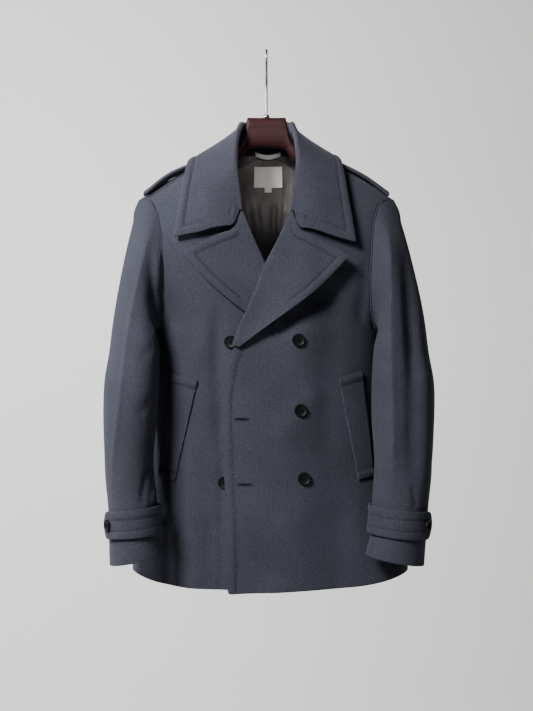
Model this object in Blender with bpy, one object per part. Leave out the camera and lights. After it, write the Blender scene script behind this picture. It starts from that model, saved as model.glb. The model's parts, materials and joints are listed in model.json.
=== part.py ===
"""A double-breasted pea coat hanging open on a wooden hanger.

Metres, +Z up. The wearer's front faces -Y, the wearer's left is +X. The origin
is the inner crown of the hanger's hook, where it rests on a rail along X.

The coat's body is one surface: an arch over the hanger's shoulders that falls
into closed rings down to the hem. A place on it is (turn, level): turn goes round
the wearer in degrees, from 0 in front over 90 at the left side to 180 behind, and
level 0 is the shoulder ridge, 1 the chest and 2 the hem. Every panel is a wall cut
from that surface, and what lies on it is moved out along the surface's normals.
"""
import functools
import math
from itertools import product

import bmesh
import bpy
import numpy as np
from mathutils import Vector

MM = 0.001
FRONT, BACK = -1, 1
LEFT, RIGHT = 1, -1
SIDE_NAMES = ((LEFT, "left"), (RIGHT, "right"))

# Cloth
WALL = 3 * MM               # wool with its interlining and lining
DOUBLE = 4 * MM             # collar and lapels, two layers of wool
SEAM = 0.3 * MM             # gap between neighbouring pieces
SHARP = math.radians(45)    # edges that turn more than this are shown sharp

# Steps for measuring the body's surface, and how evenly columns lie along a ring
TURN_STEP, LEVEL_STEP = 0.4, 0.004
HALVINGS = 40
SPREAD_POWER = 0.8

# Shoulder ridge
SHOULDER_X = 223 * MM
SHOULDER_Z = -263.7 * MM
SHOULDER_SLOPE = 0.674
RIDGE_ROUND = 30 * MM       # rounding of the ridge at the neck
SHOULDER_PAD = 3.5 * MM     # lift of the ridge by the shoulder pads
PAD_FROM, PAD_TO = 120 * MM, 210 * MM
ARCH_HEIGHT = 160 * MM      # from the ridge down to the chest level

# Hem
HEM_Z = -928 * MM
HEM_LIFT = 22 * MM          # the hem is this much higher at the sides
HEM_HALF = 240 * MM
HEM_DROP_LEFT = 6 * MM      # the overlapping front hangs a little lower
HEM_DROP_LEVEL = 1.3        # level from which it does

# Rings of the body, one row for each level
#        level  half    front  back   side   power  shift
#               width   depth  depth  y      of oval  x
RINGS = [
    (0.00, 234, 86, 84, 0, 2.5, 0),
    (1.00, 232, 88, 84, 6, 2.5, 0),
    (1.20, 203, 90, 85, 29, 2.3, 0),
    (1.50, 209, 89, 84, 30, 2.3, 1),
    (1.80, 226, 88, 85, 26, 2.4, 4),
    (2.00, 243, 89, 88, 20, 2.5, 6),
]
RING_LEVEL = np.array([row[0] for row in RINGS])
RING_SIZES = np.array([[v * MM if i != 4 else v for i, v in enumerate(row[1:])] for row in RINGS])

# Armhole, from the shoulder point to the underarm: level and half width
#        level  front  back
ARMHOLE = [
    (0.000, 223.0, 223.0),
    (0.285, 203.0, 208.0),
    (0.475, 191.0, 200.0),
    (0.655, 183.0, 195.0),
    (0.810, 180.0, 192.0),
    (1.000, 177.5, 190.0),
    (1.100, 179.0, 191.0),
    (1.165, 187.0, 195.0),
]
UNDERARM_LEVEL = 1.20
ROLL_X = -3.5 * MM          # the fronts and the collar's edge mirror about this x
NECK_X = 0.5 * MM           # the neckline and the collar's fold mirror about this one

# Rows of a front: its inner edge, and the level of the side seam below the underarm.
# The inner edge is given by its distance from ROLL_X towards the wearer's own side.
#        inner h, inner z, place on the outer edge (0 shoulder, 1 underarm, 2 hem)
FRONT_ROWS = [
    (44.0, -291, 0.60),     # gorge, where the neckline ends and the roll line starts
    (25.0, -337, 0.70),
    (4.0, -381, 0.80),
    (-15.0, -433, 0.90),
    (-38.0, -489, 1.00),
    (-47.5, -516, 1 + 1 / 9),       # lower end of the lapel
    (-60.5, -551, 1 + 1.5 / 9),
    (-64.5, -576, 1 + 2 / 9),
    (-67.4, -628, 1 + 3 / 9),
    (-67.4, -689, 1 + 4.3 / 9),
    (-65.4, -743, 1 + 5.5 / 9),
    (-61.5, -820, 1 + 7 / 9),
    (-59.7, -928, 2.00),    # hem
]
GORGE, LAPEL_END = FRONT_ROWS[0][2], FRONT_ROWS[5][2]
FRONT_COLUMNS = 12
BACK_OUTER_COLUMNS = 5      # from the neck point to the armhole
NECK_PLACE = 0.42           # where the columns of the neck end, lower down
SIDE_ROWS = 9               # from the underarm to the hem

# How far the left front stands off the right one under it, by height
#          depth below the origin, stand-off
OVERLAP = [(292, 0), (366, 13), (500, 14), (585, 9), (950, 8)]
OVERLAP_FROM = 112 * MM     # it lies on the body again from here outwards
OVERLAP_FULL = 62 * MM

# Lapels: the outer edge from the tip to the lower end, beside the roll line
#          h    z
LAPEL_EDGE = [(136, -362), (99, -402), (62, -436), (23, -468), (-12, -495), (-40.5, -518)]
LAPEL_TIP_DROP = 4 * MM     # the left lapel and collar point hang lower than the right ones
LAPEL_ROLL = 3.5 * MM       # radius of the roll, at mid thickness
LAPEL_STAND = {LEFT: 18 * MM, RIGHT: 3.5 * MM}      # extra stand-off of its outer edge
LAPEL_STEPS = 2             # rows of a lapel for each row of its front
LAPEL_PLACES = (0.12, 0.25, 0.42, 0.62, 0.82, 1.0)

# Collar, from the centre back to the gorge.
# Angles are on the arch: 0 the ridge, + back, - front.
#            neckline      fold of the stand     outer edge of the fall   roll
#            x     angle   x     angle   lift    x    angle   lift        angle
COLLAR = [
    (0.0, 44.0, 0.0, 22.0, 33.0, 0, 62.0, 7.5, 176),
    (32.0, 38.5, 21.0, 21.0, 35.0, 45, 57.5, 7.5, 174),
    (62.0, 22.0, 34.0, 14.0, 24.5, 96, 41.0, 9.0, 170),
    (71.0, 0.0, 35.0, -2.0, 13.0, 124, 0.0, 9.0, 165),
    (66.0, -25.0, 45.0, -25.0, 10.5, 130, -26.0, 9.0, 150),
    (57.0, -52.0, 50.5, -51.0, 8.0, 137, -50.0, 8.0, 120),
    (44.0, -84.3, 43.5, -83.0, 5.2, 149, -76.5, 9.0, 100),
]
COLLAR_ROWS = 12            # for each half; half of them at the back
COLLAR_POINT_DROP = 2.5     # degrees, lower on the left
COLLAR_SIT = 1.0 * MM       # and the fall lies lower there too
COLLAR_SAG = 4.8 * MM       # of the fall between its fold and its edge
COLLAR_SAG_POWER = 0.52     # below 1, the sag is deepest near the fold
COLLAR_FADE = 0.3           # share of the way round over which such changes fade out
COLLAR_ROLL = 3.3 * MM
ROLL_STEPS = 4
STAND_COLUMNS = 3
STAND_REACH = 0.35          # length of its curve's handles, as a share of its height
FALL_PLACES = (0.08, 0.2, 0.38, 0.6, 0.8, 1.0)
# How far the collar's end dips below the straight line to its point
#              place  depth
COLLAR_DIP = [(0, 0), (0.08, 19.5), (0.2, 18.5), (0.38, 13.5), (0.6, 9.5), (0.8, 5), (1, 0)]
# How far the collar stands off the lapels there, over its lower edge and at its points
#              place  lift
COLLAR_OPEN = [(0, 0), (0.15, 4), (0.35, 6.5), (0.6, 5), (0.85, 2.5), (1, 2)]
COLLAR_EDGE_STAND = {LEFT: 3.5 * MM, RIGHT: 1.5 * MM}     # of its outer edge, in front
COLLAR_EDGE_FROM = 0.6      # share of the way round from which its outer edge stands off
# The same dip for the lapel's upper edge
LAPEL_DIP = [(0, 0), (0.12, 18), (0.25, 16), (0.42, 11), (0.62, 7), (0.82, 2.5), (1, 0)]

# Sleeves below the cap, in horizontal ovals
#        z    centre x  centre y  half x  half y  turn (degrees,   wider on the left:
#                                                 front inwards)   outside  inside
SLEEVE = [
    (-532, 225.5, -60, 42.5, 77, 14, 9.5, 0),
    (-580, 229.0, -74, 46.0, 73, 11, 9.5, 4),
    (-650, 231, -87, 45.0, 67, 9, 6.5, 8),
    (-710, 231, -95, 41.5, 63, 7, 6.0, 8),
    (-785, 224, -102, 42.0, 58, 4, 5.5, 5),
    (-845, 220.5, -106, 44.0, 55, 2, 2.5, 4.5),
    (-873, 216.0, -108, 47.0, 53, 0, 1, 7),
]
CUFF_SLANT = 9 * MM         # the cuff is this much lower outside than at its middle
ARM_STEPS = 10              # of the armhole, from the shoulder point to the underarm
CAP_ROWS = 7
ARM_ROWS = 10
SLEEVE_SEAMS = (7, 13)      # columns of the forearm seam and the hind-arm seam

# Direction in which the sleeve leaves the armhole, by the angle round it
#          angle   out    back   up    length
CAP_START = [
    (0, 0.80, 0.00, -0.60, 10),
    (90, 0.93, -0.28, -0.22, 38),
    (180, 0.80, -0.20, -0.56, 12),
    (270, 0.93, 0.30, -0.22, 38),
    (360, 0.80, 0.00, -0.60, 10),
]
CAP_END_DIRECTION = np.array([0.06, -0.16, -0.985])
CAP_END_SHARE = 0.36        # length of the lower handle, as a share of the way down
# Where each place round the armhole comes on the sleeve's oval, both in degrees
ARM_TURN = [(0, 0), (90, 108), (135, 163), (162, 212), (180, 243), (225, 275), (270, 303), (360, 360)]

# Straps
STRAP_THICK = 3 * MM
SHOULDER_STRAP_X = (116 * MM, 210 * MM)
SHOULDER_STRAP_ANGLE = 17          # half width, on the arch, in degrees
SHOULDER_STRAP_LIFT = (0.5 * MM, 4.0 * MM)      # at the collar and at the armhole
SHOULDER_STRAP_PUFF = {LEFT: 4.0 * MM, RIGHT: 6.5 * MM}
SHOULDER_STRAP_TAPER = 0.25        # it is this much narrower at the collar
SHOULDER_STRAP_ROWS, SHOULDER_STRAP_COLUMNS = 7, 4
CUFF_STRAP_Z = -810 * MM
CUFF_STRAP_SLANT = 5 * MM
CUFF_STRAP_HALF = 22.5 * MM
CUFF_STRAP_TURNS = (4, 262)        # from the point, round the front, to the hind-arm seam
CUFF_STRAP_COLUMNS = 16
CUFF_STRAP_LIFT = 2.4 * MM
CUFF_STRAP_FLARE = 2 * MM          # extra lift at the point
CUFF_STRAP_FLARE_TURN = 60
CUFF_STRAP_POINT = 16 * MM         # length of the point, and how blunt its tip is
CUFF_STRAP_TIP = 0.25
CUFF_STRAP_RADIUS = 50 * MM        # of the cuff, for the strap's length
CUFF_STRAP_HEIGHTS = (1, 0.34, -0.34, -1)       # of its rows, from its middle

# Hand-warmer pockets' welts: corners on the body, distance from x = 0 and height
#              seam side      opening side
WELT_TOP = {LEFT: ((123, -571.5), (162, -560.5)), RIGHT: ((117.5, -576), (160, -564.5))}
WELT_BOTTOM = {LEFT: ((156, -744.5), (181.5, -738.5)), RIGHT: ((155.5, -747), (182.5, -737.5))}
WELT_THICK = 3.2 * MM
WELT_LIFT = (0.4 * MM, 2.4 * MM)
WELT_ROWS, WELT_COLUMNS = 6, 3

# Buttons
BUTTON_THICK = 3.6 * MM
BUTTON_HOLE = 1.1 * MM
BUTTON_HOLE_RING = 3.1 * MM
BUTTON_SEGMENTS = 20
BUTTON_HOLE_SEGMENTS = 6
FRONT_BUTTON = 11 * MM
CUFF_BUTTON = 10 * MM
BUTTON_GAP = 0.4 * MM
CUFF_BUTTON_GAP = 1 * MM
# Section from the back's edge over the rim into the dish, as shares of radius and thickness
BUTTON_PROFILE = [(0.92, 0.0), (1.0, 0.22), (1.0, 0.8), (0.93, 1.0), (0.82, 1.0), (0.72, 0.66)]
#          x     z
LEFT_BUTTONS = [(52.0, -507.2), (55.9, -625.6), (62.0, -741.1)]
RIGHT_BUTTONS = [(-60.8, -509.6), (-58.5, -628.0), (-71.5, -747.6)]
CUFF_BUTTON_TURN = 33

# Lining, label, tab and loop in the back neck
LINING_THICK = 1.5 * MM
LINING_INSET = 5.0 * MM     # its outer face lies this far inside the back's outer face
LINING_FOLDS = 7
LINING_FOLD_DEPTH = 2.2 * MM
LINING_HALF = 150 * MM
LINING_COLUMNS = 28
LINING_FLAT = (27 * MM, 25 * MM)    # half width without folds at the label, and their fade
LINING_LEVELS = (0.5, 0.6, 0.7, 0.8, 0.9, 1.0, 1.15, 1.4, 1.65, 1.94)
LABEL_LIFT = 0.8 * MM       # clear of the lining's flat faces
LABEL_TOP = (3.5, -192)     # centre x and top z
LABEL_THICK = 1.0 * MM
LABEL_COLUMNS = 8
# Drop below the top and width: the label, then the narrow tab that hangs from it
LABEL_ROWS = [(0, 52.5), (18, 52.5), (36.5, 52.5), (36.9, 13), (46, 13)]
LOOP_CENTRE = (3 * MM, 46 * MM, -173.5 * MM)
LOOP_STAND = 2 * MM
LOOP_SAG = 6.5 * MM
LOOP_HALF = 22 * MM
LOOP_WIDTH = 8 * MM
LOOP_THICK = 1.2 * MM
LOOP_COLUMNS = 10

# Hanger
HANGER_CLEAR = 6.0 * MM     # between the cloth and the wood
HANGER_HEAD = (33 * MM, 42.8 * MM)      # half widths of its flat top and of its foot
HANGER_TOP_Z = -117 * MM
#             |x|   thickness  height of the section
HANGER = [
    (0, 27, 52), (20, 27, 52.5), (33, 27, 56), (37.5, 27, 46), (45, 27, 31), (60, 27, 30),
    (85, 28, 29), (120, 30, 27), (155, 33, 25), (185, 33, 23), (198, 28, 18), (203, 20, 11),
]
HANGER_POWER = 2.6          # of the section's rounded oval
HANGER_SECTION = 12
WIRE = 2 * MM               # the hook's wire radius
HOOK_RADIUS = 18 * MM       # at the wire's middle
HOOK_END = 200              # degrees turned, from the front over the crown
HOOK_STEP = 10              # degrees
WIRE_SIDES = 10
SHANK_FOOT = 25 * MM        # how far the wire's straight foot reaches over the hanger
# Height over the hanger and radius of the hook's foot
HOOK_FOOT = [(0, 5.5 * MM), (2.4 * MM, 5.5 * MM), (4.6 * MM, 3.8 * MM), (5.4 * MM, 2.2 * MM), (8 * MM, WIRE)]
# Bend of the hook from its shank to the front of the crown, y and z in millimetres
HOOK_BEND = [(0, 0, -70), (0, -1.2, -58), (0, -5, -46.5), (0, -10.5, -36), (0, -15.2, -26)]

COLOURS = {
    "wool": ((0.075, 0.082, 0.105), 0.9, 0.0),
    "lining": ((0.10, 0.085, 0.078), 0.5, 0.0),
    "label": ((0.72, 0.71, 0.66), 0.8, 0.0),
    "button": ((0.016, 0.017, 0.02), 0.35, 0.0),
    "wood": ((0.055, 0.018, 0.014), 0.35, 0.0),
    "steel": ((0.55, 0.54, 0.52), 0.3, 1.0),
}


# ---------------------------------------------------------------- curves

def smooth_rows(rows, at):
    """Read a table of rows, the first column rising, with a smooth curve between rows."""
    table = np.asarray(rows, dtype=float)
    keys = table[:, 0]
    at = float(np.clip(at, keys[0], keys[-1]))
    i = int(np.clip(np.searchsorted(keys, at) - 1, 0, len(keys) - 2))
    span = keys[i + 1] - keys[i]
    t = (at - keys[i]) / span

    def slope(j):
        if j == 0 or j == len(keys) - 1:
            k = min(max(j, 1), len(keys) - 1)
            return (table[k, 1:] - table[k - 1, 1:]) / (keys[k] - keys[k - 1])
        before = (table[j, 1:] - table[j - 1, 1:]) / (keys[j] - keys[j - 1])
        after = (table[j + 1, 1:] - table[j, 1:]) / (keys[j + 1] - keys[j])
        return np.where(before * after > 0, 2 * before * after / (before + after + 1e-12), 0.0)

    h00, h10 = 2 * t**3 - 3 * t**2 + 1, t**3 - 2 * t**2 + t
    h01, h11 = -2 * t**3 + 3 * t**2, t**3 - t**2
    return (h00 * table[i, 1:] + h10 * span * slope(i)
            + h01 * table[i + 1, 1:] + h11 * span * slope(i + 1))


def numbered(rows):
    """The same table with an evenly rising first column, from 0 to 1."""
    return [(i / (len(rows) - 1),) + tuple(row) for i, row in enumerate(rows)]


def ease(t):
    t = min(max(t, 0.0), 1.0)
    return t * t * (3 - 2 * t)


def unit(v):
    return v / max(np.linalg.norm(v), 1e-12)


# ---------------------------------------------------------------- the coat's body

def ridge(x):
    """Height of the shoulder ridge at x."""
    run = math.hypot(x, RIDGE_ROUND) - math.hypot(SHOULDER_X, RIDGE_ROUND)
    pad = SHOULDER_PAD * ease((abs(x) - PAD_FROM) / (PAD_TO - PAD_FROM))
    return SHOULDER_Z - SHOULDER_SLOPE * run + pad


def hem(x):
    return HEM_Z + HEM_LIFT * min(abs(x) / HEM_HALF, 1.1) ** 4


def ring(level):
    return smooth_rows(np.column_stack([RING_LEVEL, RING_SIZES]), level)


def height(x, level):
    if level <= 1:
        return ridge(x) - ARCH_HEIGHT * (1 - math.cos(level * math.pi / 2))
    top = ridge(x) - ARCH_HEIGHT
    return top + (hem(x) - top) * (level - 1)


def body(turn, level):
    """Point of the body at a turn in degrees: 0 front, 90 the left side, 180 back."""
    half, front, back, side_y, power, shift = ring(abs(level))
    sine, cosine = math.sin(math.radians(turn)), math.cos(math.radians(turn))
    x = half * math.copysign(abs(sine) ** (2 / power), sine)
    depth = front + side_y if cosine > 0 else back - side_y
    y = side_y - depth * math.copysign(abs(cosine) ** (2 / power), cosine)
    if abs(level) < 1:
        y *= math.sin(level * math.pi / 2)
    return np.array([x + shift, y, height(x, abs(level))])


def body_normal(turn, level):
    across = body(turn + TURN_STEP, level) - body(turn - TURN_STEP, level)
    down = body(turn, level + LEVEL_STEP) - body(turn, level - LEVEL_STEP)
    return unit(np.cross(across, down)) * -1


def turn_at(x, level, face):
    """The turn at which the body has this x, on its front or its back."""
    half, *_, power, shift = ring(level)
    share = min(max((x - shift) / half, -1.0), 1.0)
    turn = math.degrees(math.asin(abs(share) ** (power / 2)))
    return math.copysign(turn if face == FRONT else 180 - turn, share)


def level_at(x, z):
    low, high = 0.0, 2.0
    for _ in range(HALVINGS):
        middle = (low + high) / 2
        if height(x, middle) > z:
            low = middle
        else:
            high = middle
    return (low + high) / 2


def on_face(x, z, face, lift=0.0):
    """Point of the front or the back at x and z, moved out by lift."""
    level = level_at(x, z)
    turn = turn_at(x, level, face)
    return body(turn, level) + lift * body_normal(turn, level)


def on_arch(x, angle, lift=0.0):
    """Point over the shoulders: angle 0 is the ridge, + back and - front, in degrees."""
    face = BACK if angle > 0 else FRONT
    level = max(abs(angle), 0.02) / 90
    turn = turn_at(x, level, face)
    return body(turn, level) + lift * body_normal(turn, level)


def stand_off(x, z):
    """How far the left front stands off the body, where it lies over the right one."""
    off = smooth_rows(OVERLAP, -z / MM)[0] * MM
    share = ease((OVERLAP_FROM - (x - ROLL_X)) / (OVERLAP_FROM - OVERLAP_FULL))
    return off * share


def front_point(side, x, z, lift=0.0):
    """Point on the outer face of one front, moved out by lift."""
    off = stand_off(x, z) if side == LEFT else 0.0
    return on_face(x, z, FRONT, off + lift)


def front_normal(x, z):
    level = level_at(x, z)
    return body_normal(turn_at(x, level, FRONT), level)


# ---------------------------------------------------------------- meshes

def material(name):
    found = bpy.data.materials.get(name)
    if found:
        return found
    colour, roughness, metallic = COLOURS[name]
    made = bpy.data.materials.new(name)
    made.use_nodes = True
    shader = made.node_tree.nodes["Principled BSDF"]
    shader.inputs["Base Color"].default_value = (*colour, 1)
    shader.inputs["Roughness"].default_value = roughness
    shader.inputs["Metallic"].default_value = metallic
    return made


def finish(bm, name, finish_name):
    bmesh.ops.recalc_face_normals(bm, faces=bm.faces)
    mesh = bpy.data.meshes.new(name)
    bm.to_mesh(mesh)
    bm.free()
    mesh.materials.append(material(finish_name))
    mesh.shade_smooth()
    mesh.set_sharp_from_angle(angle=SHARP)
    made = bpy.data.objects.new(name, mesh)
    bpy.context.scene.collection.objects.link(made)
    return made


def grid_normals(points, wrap=False):
    """Normals of a grid of points, rows by columns."""
    if wrap:
        across = np.roll(points, -1, 1) - np.roll(points, 1, 1)
    else:
        across = np.gradient(points, axis=1)
    down = np.gradient(points, axis=0)
    normal = np.cross(across, down)
    return normal / np.maximum(np.linalg.norm(normal, axis=2, keepdims=True), 1e-12)


def wall(name, outer, inner, finish_name="wool"):
    """A closed wall between two grids of points with the same rows and columns."""
    bm = bmesh.new()
    rows, columns = len(outer), len(outer[0])
    skins = [[[bm.verts.new(p) for p in row] for row in grid] for grid in (outer, inner)]
    for skin, i, j in product(skins, range(rows - 1), range(columns - 1)):
        bm.faces.new((skin[i][j], skin[i][j + 1], skin[i + 1][j + 1], skin[i + 1][j]))
    rim = ([(0, j) for j in range(columns)] + [(i, columns - 1) for i in range(1, rows)]
           + [(rows - 1, j) for j in range(columns - 2, -1, -1)]
           + [(i, 0) for i in range(rows - 2, 0, -1)])
    for (i, j), (k, m) in zip(rim, rim[1:] + rim[:1]):
        bm.faces.new((skins[0][i][j], skins[0][k][m], skins[1][k][m], skins[1][i][j]))
    return finish(bm, name, finish_name)


def slab(name, middle, normals, thickness, finish_name="wool"):
    """A wall of this thickness about a grid of points."""
    half = normals * (thickness / 2)
    return wall(name, middle + half, middle - half, finish_name)


def loft(name, rings, finish_name):
    """A closed body through rings of points, with a flat end at each end."""
    bm = bmesh.new()
    loops = [[bm.verts.new(p) for p in ring_points] for ring_points in rings]
    count = len(loops[0])
    for first, second in zip(loops, loops[1:]):
        for j in range(count):
            k = (j + 1) % count
            bm.faces.new((first[j], first[k], second[k], second[j]))
    bm.faces.new(loops[0])
    bm.faces.new(loops[-1])
    return finish(bm, name, finish_name)


# ---------------------------------------------------------------- edges of the panels

def spread(turn):
    """Turn in degrees to a measure that rises evenly along a ring; see unspread."""
    return math.copysign(abs(turn / 90) ** SPREAD_POWER, turn)


def unspread(place):
    return 90 * math.copysign(abs(place) ** 1.25, place)


def shoulder_level(turn):
    """Level at which a panel stops half a seam short of the ridge."""
    return SEAM / 2 / max(abs(body(turn, 1.0)[1]) * math.pi / 2, MM)


def side_gap(level, face):
    """Degrees by which a panel stops half a seam short of the side."""
    _, front, back, side_y, power, _ = ring(level)
    depth = front + side_y if face == FRONT else back - side_y
    return math.degrees((SEAM / 2 / depth) ** (power / 2))


@functools.lru_cache(maxsize=None)
def armhole_curve(side, face):
    """Turns and levels along the armhole, from the shoulder point, with the length so far."""
    rows = []
    for level, front_x, back_x in ARMHOLE:
        x = side * (front_x if face == FRONT else back_x) * MM
        turn = turn_at(x, level, face)
        rows.append((abs(turn), max(level, shoulder_level(turn))))
    rows.append((90.0, UNDERARM_LEVEL))
    places = np.linspace(0, 1, 161)
    curve = np.array([smooth_rows(numbered(rows), place) for place in places])
    points = np.array([body(side * turn, level) for turn, level in curve])
    length = np.concatenate([[0], np.cumsum(np.linalg.norm(np.diff(points, axis=0), axis=1))])
    return curve, length / length[-1]


def outer_edge(side, face, place):
    """Turn and level on a panel's outer edge: 0 shoulder point, 1 underarm, 2 hem."""
    if place <= 1:
        curve, length = armhole_curve(side, face)
        turn = np.interp(place, length, curve[:, 0])
        level = np.interp(place, length, curve[:, 1])
    else:
        turn, level = 90.0, UNDERARM_LEVEL + (2 - UNDERARM_LEVEL) * (place - 1)
    gap = side_gap(level, face) if turn > 89.5 else 0.0
    turn = turn - gap if face == FRONT else turn + gap
    return side * turn, level


def places():
    """Rows of every panel, on the outer edge: the armhole's steps, then down the side."""
    upper = [k / ARM_STEPS for k in range(ARM_STEPS + 1)]
    return upper + [1 + k / SIDE_ROWS for k in range(1, SIDE_ROWS + 1)]


def collar_row(side, share):
    """Neckline, fold and edge of the collar at one place, as points over the shoulders."""
    (neck_x, neck_angle, fold_x, fold_angle, lift,
     edge_x, edge_angle, edge_lift, roll) = smooth_rows(numbered(COLLAR), share)
    drop = ease((share - COLLAR_EDGE_FROM) / (1 - COLLAR_EDGE_FROM))
    edge_angle -= COLLAR_POINT_DROP * side * drop
    return ((NECK_X + side * neck_x * MM, neck_angle),
            (NECK_X + side * fold_x * MM, fold_angle, lift * MM),
            (ROLL_X + side * edge_x * MM, edge_angle, edge_lift * MM), roll)


def neckline(side, share):
    """Turn and level on the neckline: 0 the centre back, 0.5 the neck point, 1 the gorge."""
    (x, angle), *_ = collar_row(side, share)
    turn = turn_at(x, max(abs(angle) / 90, 0.001), FRONT if share >= 0.5 else BACK)
    return turn, max(abs(angle) / 90, shoulder_level(turn))


def inner_edge(side, place):
    """Turn and level on a front's inner edge: neckline, roll line, then front edge."""
    if place <= GORGE:
        return neckline(side, 0.5 + 0.5 * place / GORGE)
    h, z = smooth_rows([(row[2], row[0], row[1]) for row in FRONT_ROWS], place) * MM
    x = ROLL_X + (NECK_X - ROLL_X) * ease((1 - place) / (1 - GORGE)) + side * h
    level = 2.0 if place == 2 else level_at(x, z)
    return turn_at(x, level, FRONT), level


# ---------------------------------------------------------------- panels

def front_grid(side):
    outer, normals = [], []
    for place in places():
        turn_in, level = inner_edge(side, place)
        turn_out, level_out = outer_edge(side, FRONT, place)
        start, end = spread(turn_in), spread(turn_out)
        row, row_normals = [], []
        for share in np.linspace(0, 1, FRONT_COLUMNS + 1):
            turn = unspread(start + (end - start) * share)
            here = level + (level_out - level) * share
            if place == 0:
                here = shoulder_level(turn)
            point, normal = body(turn, here), body_normal(turn, here)
            if side == LEFT:
                point = point + normal * stand_off(point[0], point[2])
                drop = HEM_DROP_LEFT * ease((here - HEM_DROP_LEVEL) / (2 - HEM_DROP_LEVEL))
                point[2] -= drop * ease((OVERLAP_FROM - point[0]) / (2 * OVERLAP_FROM))
            row.append(point)
            row_normals.append(normal)
        outer.append(row)
        normals.append(row_normals)
    return np.array(outer), np.array(normals)


def make_fronts():
    for side, name in SIDE_NAMES:
        outer, normals = front_grid(side)
        wall(f"front_{name}", outer, outer - normals * WALL)


def back_level(share):
    """Levels of the back on its centre line, from the neck (0) to the hem (1)."""
    rows = [(0.0, neckline(LEFT, 0)[1]), (ARM_STEPS / len(places()), 1.12), (1.0, 2.0)]
    return float(np.interp(share, *zip(*rows)))


def make_back():
    neck_steps = COLLAR_ROWS // 2
    outer, normals = [], []
    for i, place in enumerate(places()):
        fade = ease(1 - i / 6)
        centre = back_level(i / (len(places()) - 1))
        halves = []
        for side in (RIGHT, LEFT):
            turn_out, level_out = outer_edge(side, BACK, place)
            top_turn, top_level = outer_edge(side, BACK, 0)
            end, top_end = spread(180 - abs(turn_out)), spread(180 - abs(top_turn))
            half = []
            for j in range(neck_steps + BACK_OUTER_COLUMNS + 1):
                if j <= neck_steps:
                    turn, level = neckline(side, 0.5 * j / neck_steps)
                    top = neck = spread(min(abs(turn), 180 - abs(turn)))
                    even = NECK_PLACE * j / neck_steps
                    across = border = top * fade + end * even * (1 - fade)
                else:
                    part = (j - neck_steps) / BACK_OUTER_COLUMNS
                    top, across = neck + (top_end - neck) * part, border + (end - border) * part
                    level = shoulder_level(180 - unspread(top))
                turn = side * (180 - unspread(across))
                if j == 0:
                    turn = turn_at(NECK_X * fade, centre, BACK)
                straight = centre + (level_out - centre) * across / end
                start = back_level(0) + (top_level - back_level(0)) * top / top_end
                half.append((turn, max(straight + fade * (level - start), shoulder_level(turn))))
            halves.append(half)
        row = halves[0][:0:-1] + halves[1]
        outer.append([body(turn, level) for turn, level in row])
        normals.append([body_normal(turn, level) for turn, level in row])
    outer, normals = np.array(outer), np.array(normals)
    wall("back", outer, outer - normals * WALL)


# ---------------------------------------------------------------- collar and lapels

def folded(start, away, outward, radius, turned):
    """Middle points and normals of a roll: from start it turns over into outward."""
    middle, normals = [], []
    for angle in np.linspace(0, turned, ROLL_STEPS + 1):
        sine, cosine = math.sin(math.radians(angle)), math.cos(math.radians(angle))
        middle.append(start + radius * sine * away + radius * (1 - cosine) * outward)
        normals.append(sine * away - cosine * outward)
    return middle, normals


def dip(rows, place):
    """Read a table of dips by straight lines."""
    return np.interp(place, *zip(*rows)) * MM


def roll_roots(side):
    """Points, normals and directions along the roll line, on the edge of the front."""
    rows = [place for place in places() if GORGE - 1e-6 <= place <= LAPEL_END + 1e-6]
    points, normals = [], []
    for place in rows:
        turn, level = inner_edge(side, place)
        point, normal = body(turn, level), body_normal(turn, level)
        if side == LEFT:
            point = point + normal * stand_off(point[0], point[2])
        points.append(point)
        normals.append(normal)
    points, normals = np.array(points), np.array(normals)
    at = np.linspace(0, len(rows) - 1, LAPEL_STEPS * (len(rows) - 1) + 1)
    steps = np.arange(len(rows))
    points = np.array([np.interp(at, steps, points[:, k]) for k in range(3)]).T
    normals = np.array([np.interp(at, steps, normals[:, k]) for k in range(3)]).T
    return points, np.array([unit(n) for n in normals]), np.gradient(points, axis=0)


def make_lapels():
    edge_rows = numbered(LAPEL_EDGE)
    lift = 2 * LAPEL_ROLL - WALL / 2
    for side, name in SIDE_NAMES:
        middle, normals = [], []
        roots, root_normals, directions = roll_roots(side)
        for i, (root, normal, along) in enumerate(zip(roots, root_normals, directions)):
            share = i / (len(roots) - 1)
            away = np.cross(unit(along), normal) * side
            away[2] *= ease(share / 0.3)
            away = unit(away)
            start = root - normal * WALL / 2 + away * SEAM
            row, row_normals = folded(start, away, normal, LAPEL_ROLL, 180)
            h, edge_z = smooth_rows(edge_rows, share) * MM
            edge_x, edge_z = ROLL_X + side * h, edge_z - side * LAPEL_TIP_DROP * (1 - share)
            x, z = root[0], root[2]
            for t in LAPEL_PLACES:
                px = x + (edge_x - x) * t
                pz = z + (edge_z - z) * t - dip(LAPEL_DIP, t) * (1 - share) ** 3
                rise = lift + LAPEL_STAND[side] * t * t * (1 - share * share)
                row.append(front_point(side, px, pz, rise))
                row_normals.append(front_normal(px, pz))
            middle.append(row)
            normals.append(row_normals)
        slab(f"lapel_{name}", np.array(middle), np.array(normals), DOUBLE)


def bezier(p0, p1, p2, p3, t):
    s = 1 - t
    return s**3 * p0 + 3 * s * s * t * p1 + 3 * s * t * t * p2 + t**3 * p3


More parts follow.
